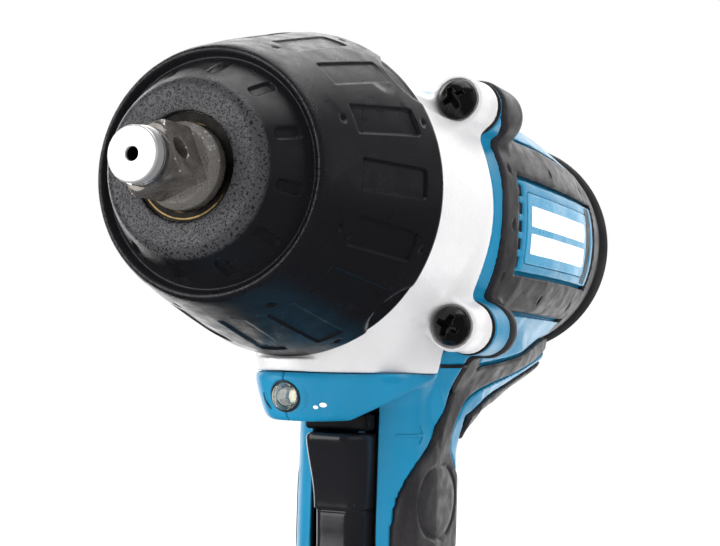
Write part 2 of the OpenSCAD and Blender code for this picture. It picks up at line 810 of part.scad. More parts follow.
TRIGGER_SIDE = [[38.6, trigger_top], [39.2, -63], [37.4, -70], [34.4, -76.5], [33.6, -80.4], [32.2, -81.4],
    [31.2, -90], [29.8, -99], [28.4, trigger_end + 1], [trigger_back, trigger_end + 1],
    [trigger_back, trigger_top]];

module trigger() color("#222226") {
    difference() {
        side_slab(-9, 9) offset(r = 0.9) offset(delta = -0.9) polygon(TRIGGER_SIDE);
        // the lower half is narrower
        both_sides() translate([10, 7.2, axis_h + trigger_end - 1]) cube([60, 10, 26.3]);
        // hollow back
        translate([14, -5.6, axis_h + trigger_end + 4]) cube([11, 11.2, 38]);
    }
    translate([2, 0, axis_h - 78]) rotate([0, 90, 0]) cylinder(r = 2.4, h = 24);
}

module trigger_spring() color("#a8a9ab") {
    translate([6.3, 0, axis_h - 78]) rotate([0, 90, 0]) coil(3.6, 0.45, 18.2, 6, 12, 6);
}

module direction_lever() color("#1e1e21") {
    translate([21.4, -17.6, axis_h + lever_z - 2.9]) cube([12.2, 35.2, 5.8]);
}

module switch_unit() color("#3a3a3e") {
    difference() {
        translate([-20, -10.4, axis_h - 108]) cube([26, 20.8, 44]);
        translate([-9, 0, axis_h - 78]) rotate([0, 90, 0]) cylinder(r = 2.4 + gap, h = 30);
        for (p = SHELL_SCREWS) cross_rod(p[0], p[1], 4, -30, 30);
    }
}

module lamp_emitter() color("#f2e6a0") {
    translate([52.2, 0, axis_h - 50.6]) rotate([0, 90, 0]) cylinder(r = 2.4, h = 5);
    translate([51, -4, axis_h - 53.8]) cube([1.2, 8, 6.4]);
}

module lamp_lens() color("#e9edf0") {
    translate([57.6, 0, axis_h - 50.6]) rotate([0, 90, 0]) intersection() {
        cylinder(r = 3.6, h = 8);
        translate([0, 0, 0.2]) sphere(r = 7);
    }
}

module terminal_block() color("#26262a") {
    translate([foot_x0 + 3.1, -17, lip_top + 0.6]) cube([5, 34, 8]);
}

BLADES = [-12, -4, 4, 12];

module terminal_blades() color("#c7a45a") {
    for (y = BLADES) translate([foot_x0 + 8.1, y - 0.4, lip_top + 1.6]) cube([12, 0.8, 5.6]);
}

module hook_inserts() color("#c9a24e") {
    both_sides() translate([-6, foot_y, 79.2]) rotate([90, 0, 0]) difference() {
        cylinder(r = 3.1, h = 6.6);
        translate([0, 0, -1]) cylinder(r = 1.65, h = 9);
    }
}

module nameplates() color("#e9edf0") {
    both_sides() side_slab(side_y - 0.9, side_y - 0.1) plate_outline();
}

// ---------- battery ----------

module pack_plan(g = 0) {
    rounded_plan(pack_x0 - g, pack_x0 + pack_l + g, pack_w / 2 + g, 8);
}

module pack_screw_places() {
    for (x = [pack_x0 + 6.4, pack_x0 + pack_l - 6.4], s = [-1, 1]) translate([x, s * 29.4, 0]) children();
}

module battery_lower_case() color("#232326") {
    difference() {
        union() {
            translate([0, 0, 2]) linear_extrude(38) pack_plan();
            linear_extrude(2.01) pack_plan(-2);
        }
        difference() {
            translate([0, 0, 3]) linear_extrude(60) pack_plan(-2.5);
            pack_screw_places() cylinder(r = 2.6, h = 38);
        }
        pack_screw_places() {
            translate([0, 0, -1]) cylinder(r = 3, h = 2.6);
            cylinder(r = 1.45, h = 30);
        }
    }
}

module battery_upper_case() color("#2c2b2f") {
    difference() {
        union() {
            translate([0, 0, 40]) linear_extrude(pack_h - 40) pack_plan();
            translate([foot_x0 + 4, -neck_y, pack_h - 1]) cube([foot_x1 - foot_x0 + 1, 2 * neck_y, 12]);
            translate([foot_x0 + 4, -rail_y, lip_top + 0.6])
                cube([foot_x1 - foot_x0 - 8, 2 * rail_y, rail_top - lip_top - 0.6]);
            translate([foot_x1 + 1, -30, pack_h - 1]) cube([12, 60, 9]);
        }
        translate([0, 0, 39]) linear_extrude(18) pack_plan(-2.5);
        translate([foot_x0 + 8, -18, pack_h - 5]) cube([80, 36, rail_top - pack_h + 2.6]);
        // room for the terminal block and its blades
        translate([foot_x0, -18, lip_top]) cube([8.6, 36, 20]);
        for (y = BLADES) translate([foot_x0, y - 1.2, lip_top + 0.4]) cube([24, 2.4, 20]);
        // shaft of the latch
        translate([foot_x1 - 14, -8.4, pack_h - 8]) cube([40, 16.8, 40]);
    }
}

CELL_X = [for (i = [0:4]) pack_x0 + pack_l / 2 + (i - 2) * 19.6];

module battery_cells() color("#3f8fc9") {
    for (x = CELL_X, z = [13.2, 32.2]) cross_rod(x, z, 9.1, -32.5, 32.5);
}

module cell_straps() color("#c9cbce") {
    both_sides() for (i = [0, 2]) translate([CELL_X[i] - 6, 32.6, 10]) cube([31.6, 0.3, 26]);
}

module battery_terminals() color("#c7a45a") {
    for (y = [-12, 12], s = [-1, 1]) translate([foot_x0 + 12, y + s * 0.9 - 0.35, lip_top - 1.4])
        cube([10, 0.7, 6]);
}

module battery_screws() color("#3a3a3d") {
    pack_screw_places() translate([0, 0, 1.6]) mirror([0, 0, 1]) pan_screw(1.4, 2.8, 1, 22);
}

module battery_latch() color("#1e1e21") {
    // tooth, stem and the button on the pack's front
    translate([foot_x1 - 12, -7.8, rail_top - 6]) cube([7, 15.6, latch_travel + 5.6]);
    translate([foot_x1 - 12, -7.8, pack_h - 0.5]) cube([24, 15.6, 10.6]);
}

module latch_spring() color("#a8a9ab") {
    translate([foot_x1, 0, pack_h - 7.8]) coil(3, 0.4, 7.1, 4, 12, 6);
}

anvil();
socket_ring();
socket_o_ring();
spindle();
planet_pins();
cam_balls();
hammer_spring();
hammer();
planet_gear_1();
planet_gear_2();
rotor_shaft();
rotor_core();
rotor_windings();
commutator();
fan();
trigger();
trigger_spring();
direction_lever();
battery_lower_case();
battery_upper_case();
battery_cells();
cell_straps();
battery_terminals();
battery_screws();
battery_latch();
latch_spring();
housing_left();
housing_right();
overmould_left();
overmould_right();
rear_cover();
rear_bumper();
rear_screws();
housing_screws();
hammer_case();
case_screws();
case_gasket();
bumper();
anvil_bushing();
nose_ring();
ring_gear();
gearbox_plate();
spindle_bearing();
rotor_front_bearing();
rotor_rear_bearing();
motor_yoke();
motor_magnets();
brush_holder();
carbon_brushes();
brush_springs();
switch_unit();
lamp_emitter();
lamp_lens();
terminal_block();
terminal_blades();
hook_inserts();
nameplates();
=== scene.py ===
import functools
import json
import math

import bpy
import numpy as np
from mathutils import Matrix, Vector

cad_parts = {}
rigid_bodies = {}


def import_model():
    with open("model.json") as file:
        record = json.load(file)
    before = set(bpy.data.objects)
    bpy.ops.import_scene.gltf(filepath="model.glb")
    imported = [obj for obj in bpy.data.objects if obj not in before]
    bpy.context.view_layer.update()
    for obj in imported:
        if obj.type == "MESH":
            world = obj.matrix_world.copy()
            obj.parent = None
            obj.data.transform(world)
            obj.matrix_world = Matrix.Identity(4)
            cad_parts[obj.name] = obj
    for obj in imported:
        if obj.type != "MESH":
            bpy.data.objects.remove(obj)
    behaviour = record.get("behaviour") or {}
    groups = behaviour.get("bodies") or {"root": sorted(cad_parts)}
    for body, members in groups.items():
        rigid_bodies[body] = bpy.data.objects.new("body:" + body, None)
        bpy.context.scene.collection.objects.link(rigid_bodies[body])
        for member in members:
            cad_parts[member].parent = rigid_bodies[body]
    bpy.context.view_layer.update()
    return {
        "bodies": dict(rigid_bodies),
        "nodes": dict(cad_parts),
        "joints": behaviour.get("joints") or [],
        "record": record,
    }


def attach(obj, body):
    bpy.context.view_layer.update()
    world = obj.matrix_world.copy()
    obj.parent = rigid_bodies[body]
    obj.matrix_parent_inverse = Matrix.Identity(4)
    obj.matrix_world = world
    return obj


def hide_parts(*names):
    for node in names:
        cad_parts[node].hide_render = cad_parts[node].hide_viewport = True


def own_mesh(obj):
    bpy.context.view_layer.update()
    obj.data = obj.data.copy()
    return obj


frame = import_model()
nodes = frame["nodes"]
AXIS = 236.0  # height of the drive axis, mm; shapes below are in mm, with z counted from the axis
F32 = np.float32

# ---- stage, light, camera


def add(obj):
    bpy.context.scene.collection.objects.link(obj)


def camera():
    cam = bpy.data.cameras.new("camera")
    cam.lens, cam.sensor_width, cam.clip_start = 75, 36, 0.01
    obj = bpy.data.objects.new("camera", cam)
    add(obj)
    right, up = Vector((-0.39545, 0.91799, 0.03032)), Vector((0.06183, -0.00633, 0.99807))
    ahead = Vector((-0.91640, -0.39656, 0.05425))
    m = Matrix.Translation((0.399376, 0.164852, 0.196304))
    for row in range(3):
        m[row][0], m[row][1], m[row][2] = right[row], up[row], -ahead[row]
    obj.matrix_world = m
    bpy.context.scene.camera = obj


def lamp(name, place, target, size, power, glossy=True):
    data = bpy.data.lights.new(name, "AREA")
    data.shape, data.size, data.size_y = "RECTANGLE", size[0], size[1]
    data.energy = power
    obj = bpy.data.objects.new(name, data)
    obj.location = place
    obj.rotation_euler = (Vector(target) - Vector(place)).to_track_quat("-Z", "Y").to_euler()
    obj.visible_camera, obj.visible_glossy = False, glossy
    add(obj)


def studio_world():
    """Even white light all round, which reflections don't see: they see only the lamps that allow it."""
    world = bpy.data.worlds.new("studio")
    bpy.context.scene.world = world
    world.use_nodes = True
    back = world.node_tree.nodes["Background"]
    back.inputs["Color"].default_value = (1, 1, 1, 1)
    back.inputs["Strength"].default_value = 1.0
    world.cycles_visibility.glossy = False


def stage():
    bpy.context.scene.view_settings.view_transform = "Standard"
    studio_world()
    mesh = bpy.data.meshes.new("floor")
    s = 6.0
    mesh.from_pydata([(-s, -s, -0.0006), (s, -s, -0.0006), (s, s, -0.0006), (-s, s, -0.0006)], [], [(0, 1, 2, 3)])
    floor = bpy.data.objects.new("floor", mesh)
    floor.visible_glossy = False
    add(floor)
    pale = Mat("floor", (0.93, 0.93, 0.93), 1.0, Specular_IOR_Level=0.0, Emission_Color=(1, 1, 1, 1),
               Emission_Strength=0.3)
    mesh.materials.append(pale.done())
    target = (0.06, 0.0, 0.22)
    lamp("backdrop", (-0.95, -0.52, 0.42), target, (2.2, 1.7), 26)
    lamp("softbox_left", (0.80, -0.55, 0.36), target, (0.9, 0.9), 7)
    lamp("softbox_top", (-0.15, 0.10, 1.05), target, (0.9, 0.7), 4)
    lamp("softbox_right", (-0.35, 0.95, 0.55), target, (0.8, 0.7), 0.5)
    lamp("fill_right", (-0.35, 0.95, 0.55), target, (0.8, 0.7), 4, False)
    lamp("fill", (1.0, 0.55, 0.30), target, (0.9, 0.9), 3, False)


# ---- materials


class Mat:
    """A material under construction: p is its Principled shader."""

    def __init__(self, name, color, rough, metal=0.0, **sockets):
        self.mat = bpy.data.materials.new(name)
        self.mat.use_nodes = True
        self.tree = self.mat.node_tree
        self.p = self.tree.nodes["Principled BSDF"]
        self.p.inputs["Base Color"].default_value = (*color, 1)
        self.p.inputs["Roughness"].default_value = rough
        self.p.inputs["Metallic"].default_value = metal
        for key, value in sockets.items():
            self.p.inputs[key.replace("_", " ")].default_value = value
        self.place = self.new("ShaderNodeTexCoord").outputs["Object"]
        self.bumps = None

    def new(self, kind, **settings):
        node = self.tree.nodes.new(kind)
        for key, value in settings.items():
            setattr(node, key, value)
        return node

    def link(self, a, b):
        self.tree.links.new(a, b)
        return self

    def set(self, socket, value):
        if isinstance(value, bpy.types.NodeSocket):
            self.link(value, socket)
        else:
            socket.default_value = value

    def math(self, operation, a, b=0.0, clamp=False):
        node = self.new("ShaderNodeMath", operation=operation, use_clamp=clamp)
        self.set(node.inputs[0], a)
        self.set(node.inputs[1], b)
        return node.outputs[0]

    def times(self, a, b, clamp=False):
        return self.math("MULTIPLY", a, b, clamp)

    def noise(self, scale, detail=3.0, rough=0.5, stretch=None, distortion=0.0):
        node = self.new("ShaderNodeTexNoise")
        node.inputs["Scale"].default_value = scale
        node.inputs["Detail"].default_value = detail
        node.inputs["Roughness"].default_value = rough
        node.inputs["Distortion"].default_value = distortion
        self.link(self.stretched(stretch), node.inputs["Vector"])
        return node.outputs["Fac"]

    def cells(self, scale):
        node = self.new("ShaderNodeTexVoronoi")
        node.inputs["Scale"].default_value = scale
        self.link(self.place, node.inputs["Vector"])
        return node.outputs["Distance"]

    def stretched(self, stretch):
        if stretch is None:
            return self.place
        node = self.new("ShaderNodeVectorMath", operation="MULTIPLY")
        self.link(self.place, node.inputs[0])
        node.inputs[1].default_value = stretch
        return node.outputs[0]

    def ramp(self, value, low, high, a=0.0, b=1.0):
        node = self.new("ShaderNodeMapRange", interpolation_type="SMOOTHSTEP")
        for i, v in enumerate((value, low, high, a, b)):
            self.set(node.inputs[i], v)
        return node.outputs["Result"]

    def patches(self, scale, detail, rough, low, high, a=0.0, b=1.0):
        return self.ramp(self.noise(scale, detail, rough), low, high, a, b)

    def along(self, axis):
        node = self.new("ShaderNodeSeparateXYZ")
        self.link(self.place, node.inputs[0])
        return node.outputs[axis]

    def mix(self, factor, a, b):
        node = self.new("ShaderNodeMix", data_type="RGBA")
        self.set(node.inputs["Factor"], factor)
        for socket, value in ((node.inputs[6], a), (node.inputs[7], b)):
            self.set(socket, value if isinstance(value, bpy.types.NodeSocket) else (*value[:3], 1))
        return node.outputs[2]

    def edges(self, low=0.52, high=0.6):
        node = self.new("ShaderNodeNewGeometry")
        return self.ramp(node.outputs["Pointiness"], low, high)

    def bump(self, height, distance):
        node = self.new("ShaderNodeBump")
        node.inputs["Strength"].default_value = 1.0
        node.inputs["Distance"].default_value = distance
        self.link(height, node.inputs["Height"])
        if self.bumps is not None:
            self.link(self.bumps, node.inputs["Normal"])
        self.bumps = node.outputs["Normal"]
        return self

    def color(self, value):
        self.link(value, self.p.inputs["Base Color"])
        return self

    def rough(self, value):
        self.link(value, self.p.inputs["Roughness"])
        return self

    def done(self):
        if self.bumps is not None:
            self.link(self.bumps, self.p.inputs["Normal"])
        return self.mat


def rubber(name, color, rough, grain, depth):
    m = Mat(name, color, rough, Specular_IOR_Level=0.45)
    cloud = m.noise(60, 4, 0.6)
    dust = m.patches(900, 2, 0.6, 0.35, 0.75)
    worn = m.times(m.edges(), m.patches(300, 3, 0.6, 0.35, 0.65), True)
    shade = m.mix(m.ramp(cloud, 0.3, 0.7), [c * 0.8 for c in color], [c * 1.35 + 0.002 for c in color])
    shade = m.mix(m.times(dust, 0.25), shade, [c * 1.9 + 0.003 for c in color])
    m.color(m.mix(m.times(worn, 0.45), shade, [c * 2.4 + 0.015 for c in color]))
    m.rough(m.patches(220, 3, 0.6, 0.3, 0.7, rough - 0.07, rough + 0.09))
    m.bump(m.noise(grain, 3, 0.65), depth)
    return m


def plastic(name, color, rough, grain=2600, depth=0.00003, spec=0.5):
    m = Mat(name, color, rough, Specular_IOR_Level=spec)
    shade = m.mix(m.patches(35, 3, 0.5, 0.3, 0.7), [c * 0.93 for c in color],
                  [min(1, c * 1.06) for c in color])
    scuff = m.times(m.edges(0.53, 0.62), m.patches(400, 4, 0.7, 0.45, 0.7), True)
    m.color(m.mix(m.times(scuff, 0.3), shade, [min(1, c * 1.5 + 0.04) for c in color]))
    m.rough(m.patches(150, 4, 0.6, 0.3, 0.7, rough - 0.05, rough + 0.06))
    m.bump(m.noise(grain, 2, 0.5), depth)
    return m


def steel(name, color, rough, lines=None, depth=0.00002, stain=0.25, metal=1.0):
    m = Mat(name, color, rough, metal)
    smudge = m.ramp(m.noise(90, 5, 0.65, distortion=0.4), 0.4, 0.75)
    shade = m.mix(m.times(smudge, stain), color, [c * 0.45 for c in color])
    bright = m.times(m.edges(0.52, 0.58), 0.5, True)
    m.color(m.mix(bright, shade, [min(1, c * 1.25 + 0.05) for c in color]))
    m.rough(m.ramp(m.noise(180, 4, 0.6), 0.25, 0.75, max(0.04, rough - 0.07), rough + 0.12))
    m.bump(m.noise(500, 3, 0.6, stretch=lines) if lines else m.noise(900, 4, 0.6), depth)
    return m


def bumper_material():
    color = (0.006, 0.006, 0.0078)
    m = rubber("bumper_rubber", color, 0.33, 4200, 0.00003)
    x = m.along("X")
    coarse = m.ramp(x, 0.1150, 0.1163)
    lip = m.times(m.ramp(x, 0.1036, 0.1048), m.ramp(x, 0.1082, 0.1072))
    lip = m.times(lip, 0.55)
    mask = m.math("MAXIMUM", coarse, lip)
    light = m.times(coarse, m.patches(1500, 3, 0.6, 0.40, 0.48))
    m.color(m.mix(light, color, (0.034, 0.034, 0.037)))
    grains = m.times(m.ramp(m.cells(2300), 0.10, 0.55, 1.0, 0.0), mask)
    m.bump(grains, 0.00008)
    return m


def cast_material():
    color = (0.80, 0.79, 0.80)
    m = Mat("cast_aluminium", color, 0.42, 0.4)
    blotch = m.patches(70, 5, 0.6, 0.3, 0.7)
    m.color(m.mix(m.times(blotch, 0.35), color, (0.72, 0.71, 0.72)))
    m.rough(m.patches(400, 4, 0.7, 0.3, 0.7, 0.36, 0.5))
    m.bump(m.noise(1500, 4, 0.7), 0.00006)
    m.bump(m.ramp(m.cells(700), 0.0, 0.7), 0.00004)
    return m


def anvil_material():
    """Bright ground tip, darker square, blasted shoulder; the flat end face is painted near white as a painted
    highlight, and the groove and the centre bore are painted near black as painted shade.
    """
    m = Mat("anvil_steel", (0.62, 0.61, 0.60), 0.25, 0.72)
    x = m.along("X")
    tip = m.ramp(x, 0.1336, 0.1340)
    # painted highlight: the flat end face of the tip is painted near white
    face_highlight = m.ramp(x, 0.13755, 0.13785)
    centre = m.new("ShaderNodeVectorMath", operation="DISTANCE")
    m.link(m.stretched((0, 1, 1)), centre.inputs[0])
    centre.inputs[1].default_value = (0, 0, AXIS / 1000)
    # painted shade: the centre bore is painted near black
    bore_shade = m.times(m.ramp(centre.outputs["Value"], 0.00160, 0.00150), m.ramp(x, 0.1376, 0.1372))
    # painted shade: the bottom of the groove behind the tip is painted near black
    groove = m.times(m.ramp(centre.outputs["Value"], 0.0056, 0.0053), m.ramp(x, 0.1354, 0.1351))
    groove = m.times(groove, m.ramp(x, 0.1331, 0.1334))
    shoulder = m.times(m.ramp(x, 0.1176, 0.1182), m.ramp(x, 0.1209, 0.1205))
    smudge = m.ramp(m.noise(160, 5, 0.65, distortion=0.6), 0.35, 0.7)
    dark = m.mix(smudge, (0.23, 0.21, 0.195), (0.10, 0.09, 0.082))
    shade = m.mix(tip, dark, (0.50, 0.50, 0.50))
    shade = m.mix(face_highlight, shade, (0.88, 0.88, 0.88))
    shade = m.mix(shoulder, shade, (0.34, 0.32, 0.30))
    shade = m.mix(m.times(m.edges(0.52, 0.57), 0.6, True), shade, (0.9, 0.9, 0.9))
    shade = m.mix(groove, shade, (0.05, 0.048, 0.046))
    m.color(m.mix(bore_shade, shade, (0.012, 0.012, 0.012)))
    r = m.patches(220, 4, 0.6, 0.3, 0.7, 0.22, 0.36)
    rough = m.new("ShaderNodeMix", data_type="FLOAT")
    m.link(tip, rough.inputs[0]).link(r, rough.inputs[2])
    rough.inputs[3].default_value = 0.28
    m.rough(rough.outputs[0])
    m.bump(m.noise(420, 3, 0.6, stretch=(0.12, 1.0, 1.0)), 0.00001)
    m.bump(m.times(m.noise(2600, 3, 0.7), shoulder), 0.0003)
    return m


def nose_ring_shaded():
    """Brass ring painted near black, and its brass dimmed, as painted shade deep in the nose; a thin brass line
    shows only on its lower side, where light reaches.
    """
    brass, black = (0.20, 0.14, 0.055), (0.012, 0.011, 0.010)
    m = Mat("nose_ring_painted_shade", brass, 0.28, 1.0)
    radius = m.new("ShaderNodeVectorMath", operation="DISTANCE")
    m.link(m.stretched((0, 1, 1)), radius.inputs[0])
    radius.inputs[1].default_value = (0, 0, AXIS / 1000)
    r = radius.outputs["Value"]
    line = m.times(m.ramp(r, 0.01120, 0.01128), m.ramp(r, 0.01162, 0.01154))
    # painted light: the brass line is kept only on the lower side of the ring
    line = m.times(line, m.ramp(m.along("Z"), 0.2315, 0.2275))
    smudge = m.times(line, m.patches(260, 4, 0.6, 0.32, 0.55))
    m.color(m.mix(smudge, black, brass))
    m.rough(m.patches(300, 4, 0.6, 0.3, 0.7, 0.22, 0.45))
    m.bump(m.noise(900, 3, 0.6), 0.00002)
    return m


# ---- implicit shapes, in mm


def smax(a, b, k):
    h = np.clip(0.5 + 0.5 * (a - b) / k, 0, 1)
    return b + (a - b) * h + k * h * (1 - h)


def smin(a, b, k):
    return -smax(-a, -b, k)


def meet(*fields):
    """Sharp intersection."""
    return functools.reduce(np.maximum, fields)


def join(*fields):
    """Sharp union."""
    return functools.reduce(np.minimum, fields)


def cut(body, tool, k):
    """body less tool, with edges rounded over k."""
    return smax(body, -tool, k)


def span(v, lo, hi):
    """Signed distance from the slab between lo and hi."""
    return np.maximum(lo - v, v - hi)


def length(u, v):
    return np.sqrt(u * u + v * v)


def ramp01(v, a, b):
    t = np.clip((v - a) / (b - a), 0, 1)
    return t * t * (3 - 2 * t)


def poly(u, v, points):
    """Signed distance from a closed flat outline, negative inside."""
    p = np.array(points, F32)
    best, side = None, None
    for a, b in zip(p, np.roll(p, -1, 0)):
        e = b - a
        wu, wv = u - a[0], v - a[1]
        t = np.clip((wu * e[0] + wv * e[1]) / max(float(e @ e), 1e-9), 0, 1)
        d = (wu - e[0] * t) ** 2 + (wv - e[1] * t) ** 2
        best = d if best is None else np.minimum(best, d)
        up, down = (v >= a[1]) & (v < b[1]), (v < a[1]) & (v >= b[1])
        left = e[0] * wv > e[1] * wu
        flip = (up & left) | (down & ~left)
        side = flip if side is None else side ^ flip
    return np.where(side, -1, 1).astype(F32) * np.sqrt(best)


def box(x, y, z, lo, hi, r=0.0):
    q = [np.abs(v - (a + b) / 2) - ((b - a) / 2 - r) for v, a, b in zip((x, y, z), lo, hi)]
    out = np.sqrt(sum(np.maximum(c, 0) ** 2 for c in q))
    return out + np.minimum(np.maximum(np.maximum(q[0], q[1]), q[2]), 0) - r


def rod_y(x, y, z, cx, cz, r, y0, y1, k=0.6):
    return smax(length(x - cx, z - cz) - r, span(y, y0, y1), k)


def hull_outline(circles, n=48):
    """Outline of the hull of circles [x, y, r]: for each direction, the farthest support point."""
    out = []
    for i in range(n * 2):
        a = math.pi * i / n
        d = (math.cos(a), math.sin(a))
        c = max(circles, key=lambda q: q[0] * d[0] + q[1] * d[1] + q[2])
        out.append((c[0] + c[2] * d[0], c[1] + c[2] * d[1]))
    return out


def lathe_radius(x, profile):
    """Radius of a turned profile of [radius, x] points, at each x."""
    return np.interp(x, [q[1] for q in profile], [q[0] for q in profile]).astype(F32)


def lathe(x, r, profile, k=0.4):
    """Signed distance, near enough, from a solid of revolution about the drive axis."""
    edge = lathe_radius(x, profile)
    slope = (lathe_radius(x + 0.4, profile) - lathe_radius(x - 0.4, profile)) / 0.8
    return smax((r - edge) / np.sqrt(1 + slope * slope), span(x, profile[0][1], profile[-1][1]), k)


def grid(lo, hi, step):
    axes = [np.arange(a, b + step, step, dtype=F32) for a, b in zip(lo, hi)]
    return axes[0][:, None, None], axes[1][None, :, None], axes[2][None, None, :]


def nets(f, lo, step):
    """Surface nets: vertices and quads of f = 0, closed if f is positive all round."""
    n = np.array(f.shape)
    strides = np.array([n[1] * n[2], n[2], 1])
    flat, inside = f.ravel(), f < 0
    cells, points = [], []
    for axis in range(3):
        low, high = [slice(None)] * 3, [slice(None)] * 3
        low[axis], high[axis] = slice(0, -1), slice(1, None)
        at = np.argwhere(inside[tuple(low)] != inside[tuple(high)])
        o1, o2 = (axis + 1) % 3, (axis + 2) % 3
        at = at[(at[:, o1] > 0) & (at[:, o2] > 0) & (at[:, o1] < n[o1] - 1) & (at[:, o2] < n[o2] - 1)]
        i = at @ strides
        a, b = flat[i], flat[i + strides[axis]]
        p = at.astype(np.float64)
        p[:, axis] += a / (a - b)
        ring = np.stack([i, i - strides[o1], i - strides[o1] - strides[o2], i - strides[o2]], 1)
        turned = a >= 0
        ring[turned] = ring[turned][:, ::-1]
        cells.append(ring)
        points.append(np.repeat(p, 4, 0))
    cells, points = np.concatenate(cells), np.concatenate(points)
    used = np.zeros(flat.size, bool)
    used[cells.ravel()] = True
    index = np.flatnonzero(used)
    number = np.zeros(flat.size, np.int32)
    number[index] = np.arange(len(index))
    which = number[cells]
    count = np.bincount(which.ravel(), minlength=len(index))
    verts = np.stack([np.bincount(which.ravel(), points[:, k], len(index)) / count for k in range(3)], 1)
    return verts * step + np.array(lo), which


def mesh_object(name, verts, faces, material, node=None, slot=None, body="tool", mirror=False):
    """A visual piece, from verts in mm with z from the drive axis, in place of the CAD node."""
    v = np.array(verts, np.float64)
    faces = np.array(faces)
    if mirror:
        v[:, 1] *= -1
        faces = faces[:, ::-1]
    v = (v + np.array([0, 0, AXIS])) / 1000
    mesh = bpy.data.meshes.new(name)
    mesh.vertices.add(len(v))
    mesh.vertices.foreach_set("co", v.astype(F32).ravel())
    mesh.loops.add(faces.size)
    mesh.loops.foreach_set("vertex_index", faces.astype(np.int32).ravel())
    mesh.polygons.add(len(faces))
    mesh.polygons.foreach_set("loop_start", np.arange(0, faces.size, faces.shape[1], dtype=np.int32))
    mesh.update(calc_edges=True)
    mesh.validate()
    mesh.polygons.foreach_set("use_smooth", np.full(len(mesh.polygons), True))
    obj = bpy.data.objects.new(name, mesh)
    add(obj)
    mesh.materials.append(material.done())
    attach(obj, body)
    if node:
        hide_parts(node)
    return obj


def surface(field, lo, hi, step):
    """Vertices and faces of the field's zero surface, on a grid from lo to hi."""
    return nets(np.ascontiguousarray(field(*grid(lo, hi, step)), F32), lo, step)


def solid(name, field, lo, hi, step, *rest):
    mesh_object(name, *surface(field, lo, hi, step), *rest)


# ---- bumper

BOSSES = ((30.3, 28.7), (30.3, -31.5))  # case screws of the left side: y, z
SCREWS = [(side * y, z) for side in (-1, 1) for y, z in BOSSES]
BUMPER_OUT = [(12.2, 117.2), (17.6, 117.5), (19.4, 116.8), (20.4, 115.4), (26.2, 104.9), (27.2, 106.7), (28, 107.2),
              (28.9, 106.3), (29.8, 104), (31, 100), (33.5, 92), (36.8, 80), (38.8, 72.4), (40.8, 63.6),
              (40.2, 62.6)]
BUMPER_IN = [(37.4, 62.6), (36.6, 66), (35.2, 74), (33, 82), (30.6, 90), (28.2, 95), (25.4, 100), (22.6, 104),
             (16.8, 113.6), (15.8, 114.6), (12.2, 114.6)]


def rounded_rect(du, dv, r):
    """Signed distance from a rectangle, from the distances past its sides."""
    a, b = du + r, dv + r
    return np.hypot(np.maximum(a, 0), np.maximum(b, 0)) + np.minimum(np.maximum(a, b), 0) - r


SECTORS, FIRST, PITCH = 16, 1, 22.5  # panels round the bumper; angle of the first and between two, degrees
SLOTTED = (68.5, 91.0, 113.5, 248.5, 271.0, 293.5)  # panels on the two sides end in a slot
PANEL_HALF, PANEL_X, PANEL_HALF_LENGTH, SLOT_X = 3.75, 82.4, 11.6, 71.0
ROW_FINE, ROW, ROW_HIDDEN, TRACE = 0.2, 0.46, 2.2, 0.1  # spacing of rows along the section, and of its trace


